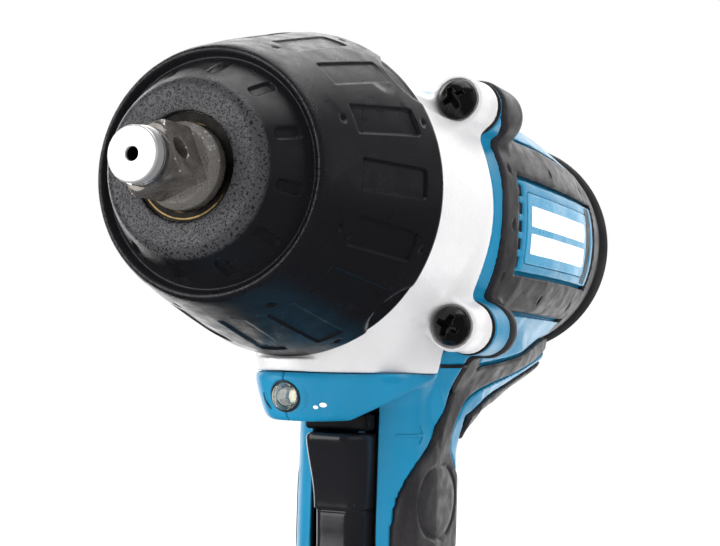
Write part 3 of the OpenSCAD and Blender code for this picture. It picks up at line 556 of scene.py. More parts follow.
def bumper():
    corners = np.array(BUMPER_OUT + BUMPER_IN + BUMPER_OUT[:1], float)
    s = np.r_[0, np.cumsum(np.hypot(*np.diff(corners, axis=0).T))]
    fine = np.arange(0, s[-1], TRACE)
    p = np.stack([np.interp(fine, s, corners[:, k]) for k in (0, 1)], 1)
    k = np.arange(-14, 15)
    w = np.exp(-k * k / 60.0)  # rounds the corners of the section
    p = sum(wi * np.roll(p, ki, 0) for wi, ki in zip(w / w.sum(), k))
    t = np.roll(p, -1, 0) - np.roll(p, 1, 0)
    n = np.stack([t[:, 1], -t[:, 0]], 1)
    n /= np.hypot(*n.T)[:, None]
    if n[np.argmax(p[:, 0])][0] < 0:
        n = -n
    # rows: fine outside, extra fine at the ends of the panels, coarse against the case
    outer = s[len(BUMPER_OUT) - 1]
    rows = [0.0]
    while rows[-1] < s[-1] - 0.5:
        at = rows[-1]
        x = p[min(int(at / TRACE), len(p) - 1), 1]
        crisp = min(abs(x - e) for e in (94.0, SLOT_X, 72.4)) < 0.9
        rows.append(at + (ROW_HIDDEN if at > outer + 1 else ROW_FINE if crisp and at > 20 else ROW))
    index = np.minimum((np.array(rows) / TRACE).astype(int), len(p) - 1)
    p, n = p[index], n[index]
    # columns: sixteen sectors, each with its panel's edges on grid lines
    sector = math.pi / SECTORS
    e = PANEL_HALF / np.maximum(p[:, 0], 30)[:, None]
    d = 0.4 / np.maximum(p[:, 0], 14)[:, None]
    half = np.concatenate([np.linspace(0, 1, 7)[:-1] * (e - d), e - d + np.linspace(0, 1, 5)[:-1] * 2 * d,
                           e + d + np.linspace(0, 1, 6)[:-1] * (sector - e - d)], 1)
    local = np.concatenate([-half[:, :0:-1], half], 1)
    local = np.concatenate([np.full((len(p), 1), -sector), local], 1)
    angle = np.concatenate([local + math.radians(FIRST + PITCH * i) for i in range(SECTORS)], 1)
    r, x = p[:, :1], p[:, 1:]
    out = (np.array(rows) < outer)[:, None]

    def across(a0):
        return ((angle - math.radians(a0) + math.pi) % (2 * math.pi) - math.pi) * r

    h = np.zeros_like(angle)
    for i in range(SECTORS):
        u = across(FIRST + PITCH * i)
        panel = rounded_rect(np.abs(u) - PANEL_HALF, np.abs(x - PANEL_X) - PANEL_HALF_LENGTH, 0.7)
        h = np.maximum(h, 0.5 * ramp01(panel, 0.1, -0.45) * ramp01(x, 66.5, 71))
        if FIRST + PITCH * i in SLOTTED:
            slot = rounded_rect(np.abs(u) - 3.3, np.abs(x - SLOT_X) - 0.5, 0.3)
            h = np.maximum(h, 1.3 * ramp01(slot, 0.15, -0.25))
    for i in range(12):  # short slots round the cone
        u = across(19.5 + 30 * i)
        slot = rounded_rect(np.abs(u) - 1.35, np.abs(x - 110.3) * 1.14 - 3.4, 0.9)
        h = np.maximum(h, 0.8 * ramp01(slot, 0.15, -0.3) * (r < 26.5) * (r > 19))
    for i in range(8):  # pits beside the panels
        for at, size in ((97.6, 1.15), (67.6, 1.0)):
            dist = np.hypot(across(23.5 + 45 * i), x - at)
            h = np.maximum(h, 0.9 * ramp01(dist, size, size * 0.3))
    for y, z in SCREWS:  # room for the screw heads, and a shallow dent in front
        u = across(math.degrees(math.atan2(y, -z)))
        h = np.maximum(h, 1.2 * ramp01(np.hypot(u, x - 61.0), 8.7, 7.4))
        h = np.maximum(h, 0.45 * ramp01(np.hypot(u, x - 74.5), 6.2, 2.6))
    h = h * out
    rr, xx = r - n[:, :1] * h, x - n[:, 1:] * h
    verts = np.stack([xx, rr * np.sin(angle), -rr * np.cos(angle)], 2)
    m, c = angle.shape
    i, j = np.meshgrid(np.arange(m), np.arange(c), indexing="ij")
    i2, j2 = (i + 1) % m, (j + 1) % c
    quads = np.stack([i * c + j, i * c + j2, i2 * c + j2, i2 * c + j], 2).reshape(-1, 4)
    mesh_object("bumper_skin", verts.reshape(-1, 3), quads, bumper_material(), "bumper", "black_rubber")


# ---- anvil

TURN = math.radians(22.85)


def anvil_field(x, y, z):
    r = length(y, z)
    c, s = math.cos(TURN), math.sin(TURN)
    u, v = -z * c + y * s, z * s + y * c
    shank = smax(smax(r - 9.8, x - 120.5, 0.2), (r - 8.4 + (x - 120.5) * 0.56) * 0.87, 0.25)
    square = smax(np.abs(u) - 6.35, np.abs(v) - 6.35, 0.25)
    square = smax(smax(square, r - 8.75, 0.35), span(x, 117, 132.4), 0.5)
    square = smax(square, (r - 8.3 + x - 131.6) * 0.7, 0.3)
    tip = smax(smax(r - 6.1, x - 138, 0.7), 131 - x, 0.2)
    body = smin(smin(shank, square, 0.15), tip, 0.35)
    groove = meet(span(x, 133.4, 135.1), 4.2 - r)
    body = cut(body, groove, 0.12)
    body = cut(body, smax(r - 1.5, 132 - x, 0.2), 0.3)
    hole = length(x - 128.2, u) - 2.5
    return smax(body, -hole, 0.35)


def anvil():
    metal = anvil_material()
    solid("anvil_drive", lambda x, y, z: meet(anvil_field(x, y, z), 110.2 - x),
          (109.8, -10.4, -10.4), (138.6, 10.4, 10.4), 0.16, metal, "anvil", "bright_steel", "anvil_body")

    def jaws(x, y, z):
        r = length(y, z)
        hub = smax(smax(r - 12.3, span(x, 78, 89), 0.4), -(r - 5.05), 0.2)
        arm = smax(smax(np.abs(y) - 5, np.abs(r - 10) - 14.4, 0.6), span(x, 78.3, 88), 0.5)
        arm = smax(arm, 5.05 - r, 0.2)
        shank = smax(r - 9.8, span(x, 84, 110.6), 0.2)
        shank = cut(shank, smax(r - 5.05, x - 89.4, 0.2), 0.2)
        return smin(smin(hub, arm, 0.8), shank, 0.6)

    solid("anvil_jaws", jaws, (77, -26, -26), (111.4, 26, 26), 0.4, metal, "anvil", "bright_steel", "anvil_body")


# ---- hammer case

CASE_OUT = [(36.9, 13), (37.1, 30), (37.2, 48), (37.2, 62.5), (36.4, 66), (35, 74), (32.8, 82), (30.4, 90),
            (28, 95), (25.2, 100), (22.4, 104), (16.6, 113.5), (15.6, 114.4)]
CASE_IN = [(30, 0), (30, 24), (29.5, 25), (29.5, 72), (27.5, 78), (27.5, 89.4), (13.4, 89.5), (13.4, 113),
           (11.6, 113.2), (11.6, 120)]


def chin_outline(g):
    return hull_outline([(52.4, 0, 12.6 + g), (16, 18.8, 4 + g), (16, -18.8, 4 + g), (6, 16, 4 + g),
                         (6, -16, 4 + g)])


def case_field(x, y, z):
    r = length(y, z)
    a = np.abs(y)
    turned = lathe(x, r, CASE_OUT)
    side = smax(smax(a - (35.3 - z * z / 136), np.abs(z + 1.4) - 31.5, 4), span(x, 13, 42), 0.6)
    side = side + 6.5 * ramp01(x, 17, 44)
    body = smin(turned, side, 2.5)
    for y0, z0 in BOSSES:
        q = length(a - y0, z - z0)
        boss = smax(q - 6.55 - (x - 13) * 0.02, span(x, 13, 27), 0.9)
        base = smax(q - 7.3 + (x - 13) * 0.35, span(x, 13, 18), 1.5)
        body = smin(body, smin(boss, base, 2.0), 3.2)
        ang = math.atan2(z0, y0)
        along = a * math.cos(ang) + z * math.sin(ang)
        off = np.abs(-a * math.sin(ang) + z * math.cos(ang))
        web = smax(smax(off - 2.2, along - 41 + (x - 13) * 0.22, 2), meet(13 - x, x - 33 + (along - 34) * 0.8), 2)
        body = smin(body, smax(web, 28 - along, 1), 3.0)
    # block over the chin, wider towards the top
    wide = 1 + 0.012 * np.clip(z + 44.3, 0, 12)
    plan = poly(np.broadcast_to(x, (x.shape[0], y.shape[1], 1))[:, :, 0],
                np.broadcast_to(y, (x.shape[0], y.shape[1], 1))[:, :, 0], chin_outline(-0.4))[:, :, None]
    plan = plan - (wide - 1) * 20
    block = smax(smax(plan, span(x, 13, 62.4), 0.8), span(z, -44.2, -24), 0.5)
    tongue = smax(smax(plan, span(x, 13, 66), 2.5), span(z, -44.2, -41.0), 0.4)
    body = smin(smin(body, block, 2.2), tongue, 0.5)
    body = smax(body, 13 - x, 0.3)
    body = body + 0.5 * ramp01(x, 14.3, 13.3)
    spigot = meet(span(r, 30, 32.6), span(x, 9.2, 14))
    body = join(body, spigot)
    inner = lathe_radius(x, CASE_IN)
    body = smax(body, inner - r, 0.3)
    for y0, z0 in BOSSES:
        q = length(a - y0, z - z0)
        body = cut(body, smax(q - 5.75, 25.9 - x, 0.2), 0.25)
    return body


def hammer_case():
    solid("hammer_case_cast", case_field, (8.4, -39.2, -45.6), (116, 39.2, 38.4), 0.56, cast_material(),
          "hammer_case", "cast_aluminium")


def screws():
    """Large cross-recess screws that hold the hammer case."""
    metal = steel("black_oxide", (0.030, 0.029, 0.028), 0.17, None, 0.000015, 0.3, 0.85)

    def head(x, y, z):
        r = length(y, z)
        dome = smax(length(x + 1.2, r) - 5.75, r - 5.35, 0.4)
        dome = cut(dome, x, 0.3)
        shaft = smax(r - 2.35, span(x, -30, 1), 0.4)
        cross = None
        for a, b in ((y, z), (z, y)):
            arm = meet(np.abs(a) - 0.50 - meet(x - 2.2, 0) * 0.14 - 0.10 * meet(2.6 - np.abs(b), 0),
                             np.abs(b) - 3.4 - (x - 4.1) * 0.5)
            cross = arm if cross is None else smin(cross, arm, 0.5)
        cross = smax(cross, 1.1 + r * 0.35 - x, 0.2)
        return smin(smax(dome, -cross, 0.22), shaft, 0.3)

    f = head(*grid((-2.4, -6.2, -6.2), (4.9, 6.2, 6.2), 0.15))
    f[0] = 1
    verts, faces = nets(f, (-2.4, -6.2, -6.2), 0.15)
    all_v, all_f = [], []
    for k, (y, z) in enumerate(SCREWS):
        a = math.radians(28 if z > 0 else 4 + 20 * k)
        c, s = math.cos(a), math.sin(a)
        vx, vy, vz = verts.T
        v = np.stack([vx + 26.4, vy * c - vz * s + y, vy * s + vz * c + z], 1)
        all_f.append(faces + len(verts) * k)
        all_v.append(v)
    mesh_object("case_screw_heads", np.concatenate(all_v), np.concatenate(all_f), metal, "case_screws",
                "dark_screw_steel")


# ---- housing and overmould

BARREL = [(36.4, -96), (38.6, -70), (40, -40), (39.4, -14), (36.4, 13)]
GRIP_SIDE = [(44, -30), (44, -58), (38.5, -63), (30, -86), (24.5, -112), (23, -124), (26, -144), (30, -154),
             (-42, -154), (-33, -144), (-30.5, -132), (-31, -104), (-30, -66), (-33, -57.5), (-45, -55),
             (-65, -52), (-84, -48), (-92, -45.4), (-95.6, -42), (-98, -38), (-98, -26)]
WINDOW = [(-7, 12.2), (-6, -2.5), (-9, -15.2), (-94.8, -15.2), (-94.8, 12.2)]
FRAME = [(10.6, 60), (10.6, 27), (4, 23), (2.5, 18), (4.2, 7), (5, -5), (4.2, -12), (1.8, -18.7), (0, -24.7),
         (-1.5, -29), (-1.5, -60), (-12, -60), (-12.4, -40), (-13.6, -30), (-18, -26), (-98, -26), (-98, 24.5),
         (-18, 24.5), (-13.6, 27.5), (-12, 34), (-12, 60)]
GRIP_SKIN = [(-14, -41.8), (-9.5, -43.4), (-4.2, -48.5), (2.2, -56.2), (6.8, -64.6), (11.5, -67), (16.5, -70),
             (20.4, -75), (22.2, -82), (22.4, -92), (21, -104), (17.5, -115), (11, -125), (0, -130.5), (-12, -132),
             (-50, -132), (-50, -84), (-30, -79.5), (-19.3, -73.4), (-10.8, -67.1), (-8.3, -59.3), (-12.8, -53),
             (-26.8, -48.7), (-36.5, -47.4), (-61.5, -44), (-85, -39), (-99, -35.4), (-99, -30), (-48, -39),
             (-20, -41.5)]
RIGHT_REACH = 18.2  # the right pad ends here, so the front left of the grip stays bare as in the photo
SPINE = [(-50, -100), (-22, -100), (-22, -68), (-19, -62), (-18, -57.5), (-32.4, -53), (-60, -48.5), (-99, -38.6),
         (-99, -60), (-60, -66), (-44, -76)]
# bottom edge of the chin: x, z
CHIN_EDGE = ((12, 20, 26, 30.5, 38.8, 45), (-44.8, -48, -50.4, -51.9, -54.7, -56.9))
POCKET = 9.5  # half width of the trigger opening
LAMP_Z = -50.6  # axis of the chin lamp
PLATE_X, PLATE_Z = -48.5, -1.8  # middle of the nameplate
HOUSING_STEP = 0.54  # grid of the housing and its overmould


def plan_rect(x, a, x0, x1, w, r):
    return rounded_rect(np.abs(x - (x0 + x1) / 2) - (x1 - x0) / 2, a - w, r)


def flat(x, a, points):
    """Distance from an outline in plan, for the broadcast axes x and a."""
    u, v = np.broadcast_arrays(x, a)
    return poly(u[:, :, 0], v[:, :, 0], points)[:, :, None]


def rounded(points, times=2):
    """The closed outline with its corners cut, a number of times over."""
    p = np.array(points, float)
    for _ in range(times):
        q = np.roll(p, -1, 0)
        p = np.stack([0.75 * p + 0.25 * q, 0.25 * p + 0.75 * q], 1).reshape(-1, 2)
    return p


def side_view(x, z, points):
    u, v = np.broadcast_arrays(x, z)
    return poly(u[:, 0, :], v[:, 0, :], points)[:, None, :]


def base_form(x, a, z):
    """Barrel, screw lobes and grip of the housing, without the chin and the foot."""
    r = length(a, z)
    barrel = smax(r - lathe_radius(x, BARREL), a - 38.35, 3.5)
    body = barrel
    for y0, z0 in BOSSES:
        q = np.sqrt((a - y0) ** 2 + (z - z0) ** 2 + join(x + 4, 0) ** 2)
        body = smin(body, q - 7.6, 3.5)
    side = side_view(x, z, GRIP_SIDE)
    grip = flat(x, a, hull_outline([(-15, 0, 16.8), (4, 0, 18.2), (14, 5.6, 12), (14, -5.6, 12)]))
    web = flat(x, a, [(36, 13), (-30, 13), (-110, 2), (-110, -2), (-30, -13), (36, -13)]) - 7
    shoulder = flat(x, a, [(33, 15), (-50, 15), (-110, 7), (-110, -7), (-50, -15), (33, -15)]) - 11
    front = ramp01(x, 0, 10)
    plan = grip + (web - grip) * ramp01(z - 14 * front, -68, -53 - 5 * front)
    plan = plan + (shoulder - plan) * ramp01(z - 6 * front, -52, -37)
    grip = smax(side, plan, 5.0)
    return smin(body, smax(grip, z + 24, 2), 4.0)


def chin_shape(x, a, z):
    plan = flat(x, a, chin_outline(0))
    draft = np.clip(-44.3 - z, 0, 30)
    edge = np.interp(x, *CHIN_EDGE).astype(F32)
    d = smax(plan + 0.16 * draft + 0.010 * draft ** 2, meet(edge - z, z + 44.3), 2.6)
    return smax(d, z + 44.3, 0.3)


def foot_shape(x, a, z):
    top = z + 152
    slab = smax(plan_rect(x, a, -58, 44, 37.2, 7), meet(-175 - z, top), 1.6)
    t = np.clip((top + 1) / 14, 0, 1)
    wide = plan_rect(x, a, -57, 43, 36.4, 8)
    neck = plan_rect(x, a, -30, 32, 17.4, 15)
    cone = smax(wide + (neck - wide) * np.sqrt(t), span(z, -154, -140), 2.5)
    return smin(slab, cone, 3.0)


def skin_mask(x, a, z, right=False):
    """Negative where the soft overmould covers the housing, seen from the side."""
    frame = smax(side_view(x, z, FRAME), -side_view(x, z, WINDOW), 0.8)
    grip = side_view(x, z, rounded(GRIP_SKIN))
    if right:
        grip = smax(grip, x - RIGHT_REACH, 3.0)
    spine = smax(side_view(x, z, SPINE), a - 8.5 - 40 * ramp01(z, -66, -58), 0.8)
    return smin(smin(smax(frame, 20 - a, 0.5), grip, 1.0), spine, 0.8)


def trigger_pocket(x, a, z):
    top = np.interp(x, *CHIN_EDGE).astype(F32) - 0.2
    return smax(a - POCKET, meet(span(z, -108.4, top), 16 - x), 0.8)


def arrow(x, z):
    """Plain arrow pointing to the rear."""
    shaft = meet(np.abs(z + 61.3) - 0.42, np.abs(x - 17.6) - 5.2)
    head = meet(np.abs(x - 12.1 - np.abs(z + 61.3) * 0.9) - 0.6, np.abs(z + 61.3) - 2.5)
    return join(shaft, head)


HOLLOWS = (  # trigger, battery contacts, battery rails (2), latch, front of the foot
    ((8, -9.5, -108), (60, 9.5, -59.4)), ((-55, -22.2, -190), (90, 22.2, -164)),
    ((-55, -27.2, -168.6), (90, 27.2, -159.3)), ((28, -9, -161), (90, 9, -155)), ((41, -60, -190), (90, 60, -167)))
SCREW_WELLS = ((22, -48.6), (-19, -58.5), (-18, -126), (14, -133), (27, -149.4), (-44, -153))  # right side: x, z
FRAME_PITS = ((-1.5, 13.5), (-1.5, -2.2), (-1.8, -16.6), (-40, -21.5), (-84, -21.5), (-40, 16.6), (-84, 16.6),
              (-6.5, -31))


def housing_field(right):
    def field(x, y, z):
        a = np.abs(y)
        r = length(a, z)
        base = base_form(x, a, z)
        mask = skin_mask(x, a, z, right)
        shell = smax(base, -meet(mask - 0.7, -(base + 1.6)), 0.3)
        chin = chin_shape(x, a, z)
        body = smin(smin(shell, foot_shape(x, a, z), 5.0), chin, 1.2)
        # edge towards the hammer case and the rear cover
        body = smax(body, meet(join(x - 12.15, z + 44.4), -95.9 - x), 0.4)
        # hollow inside
        hollow = r - 32.8
        inner = smax(flat(x, a, hull_outline([(-14, 0, 13.4), (4, 0, 15.6), (18, 3, 9)])), span(z, -157, -30), 1)
        inner = smax(inner, side_view(x, z, GRIP_SIDE) + 2.6, 1)
        hollow = join(hollow, inner, trigger_pocket(x, a, z), smax(length(a, z - LAMP_Z) - 3.7, 52 - x, 0.2),
                      box(x, a, z, (44, -5, -54), (52.3, 5, -42), 0.3))
        for lo, hi in HOLLOWS:
            hollow = join(hollow, box(x, a, z, lo, hi, 0.5))
        body = cut(body, hollow, 0.5)
        for i in range(-2, 3):
            body = cut(body, box(x, a, z + 1.8 - 5.1 * i, (-10.7, 30, -1.6), (-7.3, 50, 1.6), 0.4), 0.3)
        body = cut(body, rod_y(x, a, z, -6, -156.8, 3.1, 30.5, 60, 0.2), 0.3)
        plate = plan_rect(x - PLATE_X, np.abs(z - PLATE_Z), -34.6, 34.6, 10.4, 1.5)
        body = cut(body, smax(plate, -0.8 - base, 0.1), 0.2)
        # recess for the near-black strip that paints shade at the rear of the window
        body = cut(body, smax(np.abs(x + 86.5) - 3.1, meet(np.abs(z + 1.6) - 12.3, -1.0 - base), 0.2), 0.2)
        q = length(a, z - LAMP_Z)
        if right:
            for px, pz in SCREW_WELLS:
                body = cut(body, rod_y(x, a, z, px, pz, 3.5, 11, 60, 0.2), 0.4)
        # two plain moulded arcs beside the lens
        arcs = meet(np.abs(q - 5.6) - 0.28, np.abs(z - LAMP_Z) - 2.7)
        body = cut(body, meet(arcs, 56 - x, -body - 0.5), 0.2)
        return meet(body, 0.02 - y)
    return field


def skin_field(right):
    def field(x, y, z):
        a = np.abs(y)
        r = length(a, z)
        base = base_form(x, a, z)
        mask = skin_mask(x, a, z, right)
        skin = smax(base - 0.6, mask, 1.3)
        # fine groove round the palm pad, which stands a little proud
        pad = (np.sqrt(((x + 0.5) / 15.5) ** 2 + ((z + 80.5) / 10.3) ** 2) - 1) * 11
        skin = smax(np.where(a > 6, skin - 0.35 * ramp01(pad, 0.2, -3.5), skin), mask, 1.3)
        groove = meet(np.abs(pad) - 0.55, -(base - 0.05))
        skin = cut(skin, np.where(a > 6, groove, 9), 0.4)
        for px, pz in FRAME_PITS:
            skin = cut(skin, meet(np.sqrt((x - px) ** 2 + ((z - pz) * 0.7) ** 2) - 0.8, -base), 0.3)
        skin = cut(skin, base + 1.55, 0.2)
        skin = cut(skin, chin_shape(x, a, z) - 0.1, 0.3)
        skin = cut(skin, foot_shape(x, a, z) - 0.1, 0.3)
        skin = smax(skin, meet(join(x - 12.0, z + 44.4), -95.9 - x), 0.3)
        skin = cut(skin, r - 32.9, 0.2)
        skin = cut(skin, box(x, a, z, (8, -9.6, -108), (60, 9.6, -59.4), 0.5), 0.2)
        skin = cut(skin, trigger_pocket(x, a, z) - 0.3, 0.3)
        for px, pz in SCREW_WELLS[:4]:
            skin = cut(skin, rod_y(x, a, z, px, pz, 3.7, 11, 60, 0.2), 0.4)
        return meet(skin, 0.02 - y)
    return field


def housing():
    teal = plastic("teal_shell", (0.003, 0.165, 0.305), 0.34, 2400, 0.00003, 0.35)
    dark = rubber("overmould", (0.020, 0.018, 0.020), 0.46, 3200, 0.00004)
    # near black for the real case gasket, and for the thin pieces that paint shade: the line under the lobe, the
    # vent plugs and the window strip
    black = rubber("seam_and_shade_black", (0.008, 0.008, 0.009), 0.45, 2600, 0.00003)
    lo, hi = (-98, -0.9, -177), (66.4, 39.6, 42)
    for name, mirror in (("left", False), ("right", True)):
        solid("shell_" + name, housing_field(mirror), lo, hi, HOUSING_STEP, teal, "housing_" + name,
              "teal_housing", "tool", mirror)
        solid("grip_skin_" + name, skin_field(mirror), lo, hi, HOUSING_STEP, dark, "overmould_" + name,
              "soft_overmould", "tool", mirror)

    def gasket(x, y, z):
        a = np.abs(y)
        rim = smax(base_form(np.full_like(x, 12.4), a, z) + 0.05, span(x, 12.1, 13.1), 0.15)
        rim = smax(rim, meet(33 - length(y, z), -44.2 - z), 0.2)
        inner = length(y, z)
        return join(rim, meet(span(inner, 29.6, 30.4), span(x, 11.9, 13.1)))

    solid("case_seam", gasket, (11.4, -39.4, -45.4), (13.8, 39.4, 39), 0.3, black, "case_gasket", "black_rubber")

    # painted shade: a thin near-black line along the groove under the screw lobe
    def lobe_shade_line(x, y, z):
        base = base_form(x, y, z)
        shade_strip = smax(np.abs(base - 0.1) - 0.45, meet(np.abs(z + 42.1 + 0.02 * x) - 0.55, np.abs(x + 0.6) - 12.6),
                     0.3)
        return smax(shade_strip, 12 - y, 0.2)

    # painted shade: near-black plugs just inside the vent slots stand for the dark of the open vents
    def vent_shade(x, y, z):
        base = base_form(x, y, z)
        d = 9
        for i in range(-2, 3):
            d = join(d, meet(np.abs(x + 9) - 1.75, np.abs(z + 1.8 - 5.1 * i) - 1.65))
        return meet(d, np.abs(base + 1.1) - 0.7, 30 - y)

    # painted shade: a near-black strip in a recess at the rear of the window, for the dark band there
    def shade_strip(x, y, z):
        return meet(np.abs(x + 86.5) - 3.0, np.abs(z + 1.6) - 12.2,
                          np.abs(base_form(x, y, z) + 0.5) - 0.45, 30 - y)

    def mark(x, y, z):
        return meet(smax(arrow(x, z), np.abs(base_form(x, y, z)) - 0.3, 0.15), 8 - y)

    for name, field, lo, hi, step, finish, slot in (
            ("lobe_bead", lobe_shade_line, (-14.6, 14, -44.4), (13.4, 39, -40.2), 0.25, black, "black_rubber"),
            ("vent_inserts", vent_shade, (-11.4, 34, -14.6), (-6.6, 41, 11.4), 0.25, black, "black_plastic"),
            ("window_strip", shade_strip, (-90.6, 32, -14.6), (-82.6, 40, 11.4), 0.25, black, "black_plastic"),
            ("arrow_mark", mark, (10.2, 10, -64.8), (24, 22, -57.8), 0.2, teal, "teal_housing")):
        verts, faces = surface(field, lo, hi, step)
        mesh_object(name + "_left", verts, faces, finish, None, slot)
        if name != "arrow_mark":
            mesh_object(name + "_right", verts, faces, finish, None, slot, mirror=True)


# ---- chin lamp and controls


def lamp_parts():
    glass = Mat("clear_lens", (0.95, 0.96, 0.98), 0.03, 0.0, Transmission_Weight=1.0, IOR=1.49)
    glass.color(glass.mix(glass.ramp(glass.noise(120, 2), 0.3, 0.7), (0.92, 0.94, 0.96), (0.99, 0.99, 1.0)))
    glass.bump(glass.cells(900), 0.00003)

    def lens(x, y, z):
        q = length(y, z - LAMP_Z)
        dome = smax(length(x - 57.9, q) - 6.7, q - 3.45, 0.3)
        dome = smax(dome, 57.7 - x, 0.2)
        return smax(dome, -smax(q - 2.3, length(x - 57.4, q) - 5.0, 0.3), 0.2)

    solid("lamp_dome", lens, (57.2, -4, -54.6), (65.4, 4, -46.6), 0.14, glass, "lamp_lens", "clear_lens")
    # painted light: the chip is given a faint glow of its own, as if the lamp were lit
    chip = Mat("lamp_chip", (0.95, 0.88, 0.55), 0.35, Emission_Color=(1.0, 0.93, 0.72, 1), Emission_Strength=0.45)
    spot = chip.ramp(chip.cells(1400), 0.2, 0.5)
    chip.color(chip.mix(spot, (0.98, 0.82, 0.30), (0.92, 0.92, 0.85)))
    chip.rough(chip.ramp(chip.noise(800), 0.3, 0.7, 0.25, 0.5))

    def emitter(x, y, z):
        q = length(y, z - LAMP_Z)
        can = smax(q - 2.25, span(x, 52.2, 57.1), 0.3)
        cup = smax(can, -smax(q - 1.8 + (57.2 - x) * 0.6, 55 - x, 0.1), 0.2)
        die = box(x, y, z - LAMP_Z, (52.4, -0.9, -0.9), (56.2, 0.9, 0.9), 0.1)
        board = box(x, y, z - LAMP_Z, (51.1, -4, -3.2), (52.3, 4, 3.2), 0.1)
        return join(cup, die, board)

    ring = rubber("lamp_outline", (0.012, 0.016, 0.02), 0.4, 2600, 0.00002)
    # white for the dots to the right of the lens: painted glints, white standing in for highlights
    pale = plastic("lamp_painted_glints", (0.82, 0.83, 0.84), 0.25, 1800, 0.00001)

    def bezel(x, y, z):
        q = length(y, z - LAMP_Z)
        loop = np.abs(q - 3.72) - 0.26
        arc = meet(np.abs(length(y + 2.6, z + 50.2) - 4.1) - 0.22, y + 4.4, z + 49.9)
        return smax(join(loop, arc), np.abs(chin_shape(x, np.abs(y), z) + 0.1) - 0.25, 0.1)

    solid("lamp_outline", bezel, (56, -8, -55.6), (66, 4.6, -46), 0.16, ring, None, "black_rubber")

    # two small white dots that paint the glints beside the lens
    def painted_glints(x, y, z):
        d = 9
        for cy, cz, r in ((7.1, -53.1, 0.48), (8.5, -52.5, 0.62)):
            d = join(d, length(y - cy, z - cz) - r)
        return smax(d, np.abs(chin_shape(x, np.abs(y), z)) - 0.2, 0.15)

    solid("lamp_painted_glints", painted_glints, (54, 6, -54.4), (64, 10, -51.2), 0.14, pale, None, "white_plate")

    solid("lamp_cup", emitter, (50.6, -4.4, -54.4), (57.6, 4.4, -46.8), 0.16, chip, "lamp_emitter",
          "lamp_chip")


TRIGGER = rounded([(36.8, -60.6), (38.0, -60.6), (38.2, -62.6), (36.6, -67), (33.2, -74), (31.8, -79),
                   (31.6, -83.6), (31.1, -90), (31, -98), (31.9, -104), (31.6, -106.6), (30.6, -107), (22.4, -107),
                   (16.6, -106.8), (15.0, -104), (15.0, -62), (16, -60.6)], 3)
TRIGGER_FRONT = list(zip(*sorted((z, x) for x, z in TRIGGER if x > 30.9 and z < -61)))


def controls():
    gloss = plastic("trigger_black", (0.010, 0.010, 0.012), 0.20, 1800, 0.00001, 0.5)
    # near black with little gloss: painted shade for the gap round the trigger; the reversing lever in that gap
    # uses it too
    black = plastic("pocket_shade_black", (0.004, 0.004, 0.0045), 0.5, 2200, 0.00003, 0.15)

    def trigger(x, y, z):
        a = np.abs(y)
        side = side_view(x, z, TRIGGER)
        behind = np.clip((np.interp(z, *TRIGGER_FRONT).astype(F32) - x) / 12, 0, 1)
        width = 5.6 + 3.1 * (1 - (1 - behind) ** 2) - 0.9 * ramp01(z, -81.2, -82.4) * (1 - behind)
        d = smax(side, (a - width) * 0.9, 1.8)
        d = cut(d, box(x, a, z, (13, -5.6, -103), (25, 5.6, -65), 0.4), 0.4)
        line = meet(np.abs(z + 81.6) - 0.4, -(d + 0.45))
        d = cut(d, line, 0.3)
        return smin(d, smax(length(a, z + 78) - 2.4, span(x, 2, 26), 0.2), 0.3)

    solid("trigger_pad", trigger, (1.4, -9.6, -108), (41, 9.6, -59.8), 0.35, gloss, "trigger", "black_plastic",
          "trigger_body")

    def surround(x, y, z):
        """Near-black liner of the opening that the trigger moves in: painted shade of the dark gap round the
        trigger.
        """
        a = np.abs(y)
        liner = smax(trigger_pocket(x, a, z) + 0.02, -meet(a - 9.05, 15 - x, z + 51.6), 0.2)
        liner = smax(liner, base_form(x, a, z) + 0.8, 0.4)
        liner = smax(liner, z + 61.2, 0.3)
        return smax(liner, -box(x, a, z, (0, -8.95, -105), (60, 8.95, -50), 0.3), 0.2)

    solid("trigger_surround", surround, (13.8, -10.4, -109.6), (30, 10.4, -60), 0.3, black, None, "black_plastic")

    def lever(x, y, z):
        a = np.abs(y)
        bar = box(x, a, z, (26.4, -9.3, -60.0), (31.6, 9.3, -55.4), 1.0)
        bar = smin(bar, box(x, a, z, (17.5, -5, -59.6), (28, 5, -55.8), 0.6), 0.5)
        for k in range(3):
            bar = cut(bar, smax(np.abs(x - 27.6 - 1.5 * k) - 0.3, 8.8 - a, 0.2), 0.3)
        return bar

    solid("reversing_lever", lever, (16.8, -10.2, -60.8), (34.2, 10.2, -54.6), 0.3, black, "direction_lever",
          "black_plastic", "lever_body")


# ---- rear end


